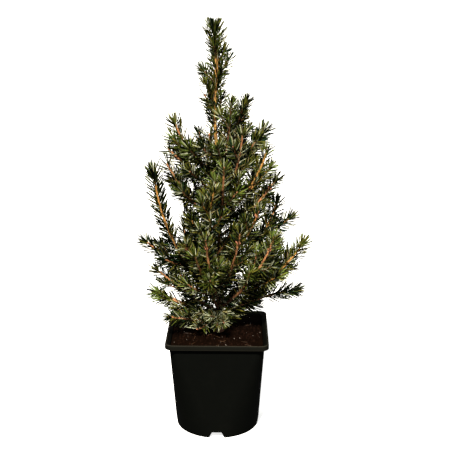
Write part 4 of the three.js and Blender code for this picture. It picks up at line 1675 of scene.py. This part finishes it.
def needleMesh(name, rows):
    # All the needles of one tone as one mesh, each bent a little towards the shoot that it stands on
    corners, faces = needleTemplate()
    feet, ways, flats, sizes, pulls, widths = (np.array([row[k] for row in rows], float) for k in range(6))
    thirds = np.cross(ways, flats)
    x, y, z = corners.T
    spots = feet[:, None] + ways[:, None] * (sizes[:, None] * z)[..., None]
    spots += flats[:, None] * (widths[:, None] * x)[..., None]
    spots += thirds[:, None] * (widths[:, None] * needleShape["thick"] * y)[..., None]
    spots += pulls[:, None] * (needleShape["curve"] * sizes[:, None] * z**2)[..., None]
    return joinedMesh(name, spots.reshape(-1, 3), joinedFaces(faces, len(corners), len(rows)))


leader = {
    "from": 330,
    "low": 0.8,  # needles to a millimetre, up to 380 and from 470 up
    "high": 1.7,
    "rise": (380, 90),
    "tuftFrom": 564,
    "tuftExtra": 2.6,
    "coverAt": 522,  # where they close over the stem between two bare stretches
    "coverSpan": 13,
    "coverExtra": 2.2,
    "bare": ((442, 26, 1), (490, 14, 0.75), (555, 9, 0.9)),  # height, half length, how bare
    "mostBare": 0.95,
    "bareWidth": 55,  # degrees either side of the front
    "near": (545, 35),  # where the needles turn steeper and longer towards the tuft
    "leans": (46, 40),
    "leanSpread": 30,
    "longer": (0.95, 1.35),
    "topHeight": 611.5,  # no needle passes this, and those further out stay lower
    "doming": 0.03,
}


def leaderNeedles(rows, random):
    # The leader is a shoot of its own, sparse low down and closing to a long tuft at the top
    top = trunkShape["top"]
    riseFrom, riseOver = leader["rise"]
    nearFrom, nearOver = leader["near"]
    leanLow, leanHigh = leader["leans"]
    front = -Vector((0, 1, 0))
    height = leader["from"]
    n = 0
    while height < top - 5:
        sparse = limited((height - riseFrom) / riseOver)
        covered = leader["coverExtra"] * swell(height, leader["coverAt"], leader["coverSpan"])
        tuft = leader["tuftExtra"] if height > leader["tuftFrom"] else 0
        height += 1 / (blend(leader["low"], leader["high"], sparse) + covered + tuft)
        n += 1
        axis = (trunkAt(height + 2) - trunkAt(height - 2)).normalized()
        outward = onStem(axis, heading(goldenTurn * n + 40 * random()))
        near = limited((height - nearFrom) / nearOver)
        lean = blend(leanLow, leanHigh + 6 * outward.x, near) + leader["leanSpread"] * (random() - 0.5)
        size = needleShape["length"] * blend(*leader["longer"], near) * (0.9 + 0.3 * random())
        facing = math.degrees(outward.angle(front, 0))
        bare = max(strength * swell(height, middle, span) for middle, span, strength in leader["bare"])
        if random() < leader["mostBare"] * bare * swell(facing, 0, leader["bareWidth"]):
            continue
        rise, out = math.cos(math.radians(lean)), math.sin(math.radians(lean))
        way = axis * rise + outward * out
        foot = trunkAt(height) + outward * barkRadius(height) * 0.7
        while foot.z + way.z * size > leader["topHeight"] - leader["doming"] * (size * out) ** 2:
            size *= 0.96
        if random() < openAt(foot + way * size * 0.6):
            continue
        tone = toneOf("leader", 0, top - height, random)
        wide = needleShape["width"] * needleShape["slim"].get(tone, 1)
        rows[tone].append(needleRow(foot, way, axis, size, wide))


def buildNeedles():
    rows = {tone: [] for tone in needleShape["tones"]}
    for n, shoot in enumerate(shoots):
        needlesOn(shoot, rows, randomFrom(20011 + 53 * n))
    leaderNeedles(rows, randomFrom(4242))
    for tone, (dark, light) in needleShape["tones"].items():
        sheen = needleShape["sheen"].get(tone, needleShape["paleSheen"])
        wax = waxyNeedle(tone + "WaxyNeedle", dark, light, sheen)
        pieces = math.ceil(len(rows[tone]) / needleShape["mostInPiece"])
        for k in range(pieces):
            name = tone + "Needles" + (str(k + 1) if k else "")
            mesh = needleMesh(name, rows[tone][k::pieces])
            piece = keepPiece(name, mesh, wax, (), smooth=False)
            if name == "midNeedles":
                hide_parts(*[node for node in frame["nodes"] if node.startswith("foliage_")])
            print(name, "ready", len(mesh.polygons), "faces")


def buildFallenNeedles():
    # Old needles that lie on the peat, brown and dry
    random = randomFrom(909)
    rows = []
    half = peatHalf() - 4
    lift = 0.7
    while len(rows) < peatShape["fallenNeedles"]:
        x, y = half * (2 * random() - 1), half * (2 * random() - 1)
        turn, size = 6.283 * random(), 9 + 5 * random()
        start = Vector((x - math.cos(turn) * size / 2, y - math.sin(turn) * size / 2, 0))
        end = Vector((x + math.cos(turn) * size / 2, y + math.sin(turn) * size / 2, 0))
        if max(abs(end.x), abs(end.y), abs(start.x), abs(start.y)) > half or math.hypot(x, y) < 12:
            continue
        start.z = peatHeight(start.x, start.y) + lift
        end.z = peatHeight(end.x, end.y) + lift
        way = (end - start).normalized()
        rows.append((start, way, way.cross(up).normalized(), size, up * 0.1, needleShape["width"]))
    mesh = needleMesh("fallenNeedles", rows)
    dry = waxyNeedle("driedNeedle", *peatShape["fallenColours"], peatShape["fallenSheen"])
    keepPiece("fallenNeedles", mesh, dry, (), smooth=False)
    print("fallen needles ready", len(rows))


buildNeedles()
buildFallenNeedles()
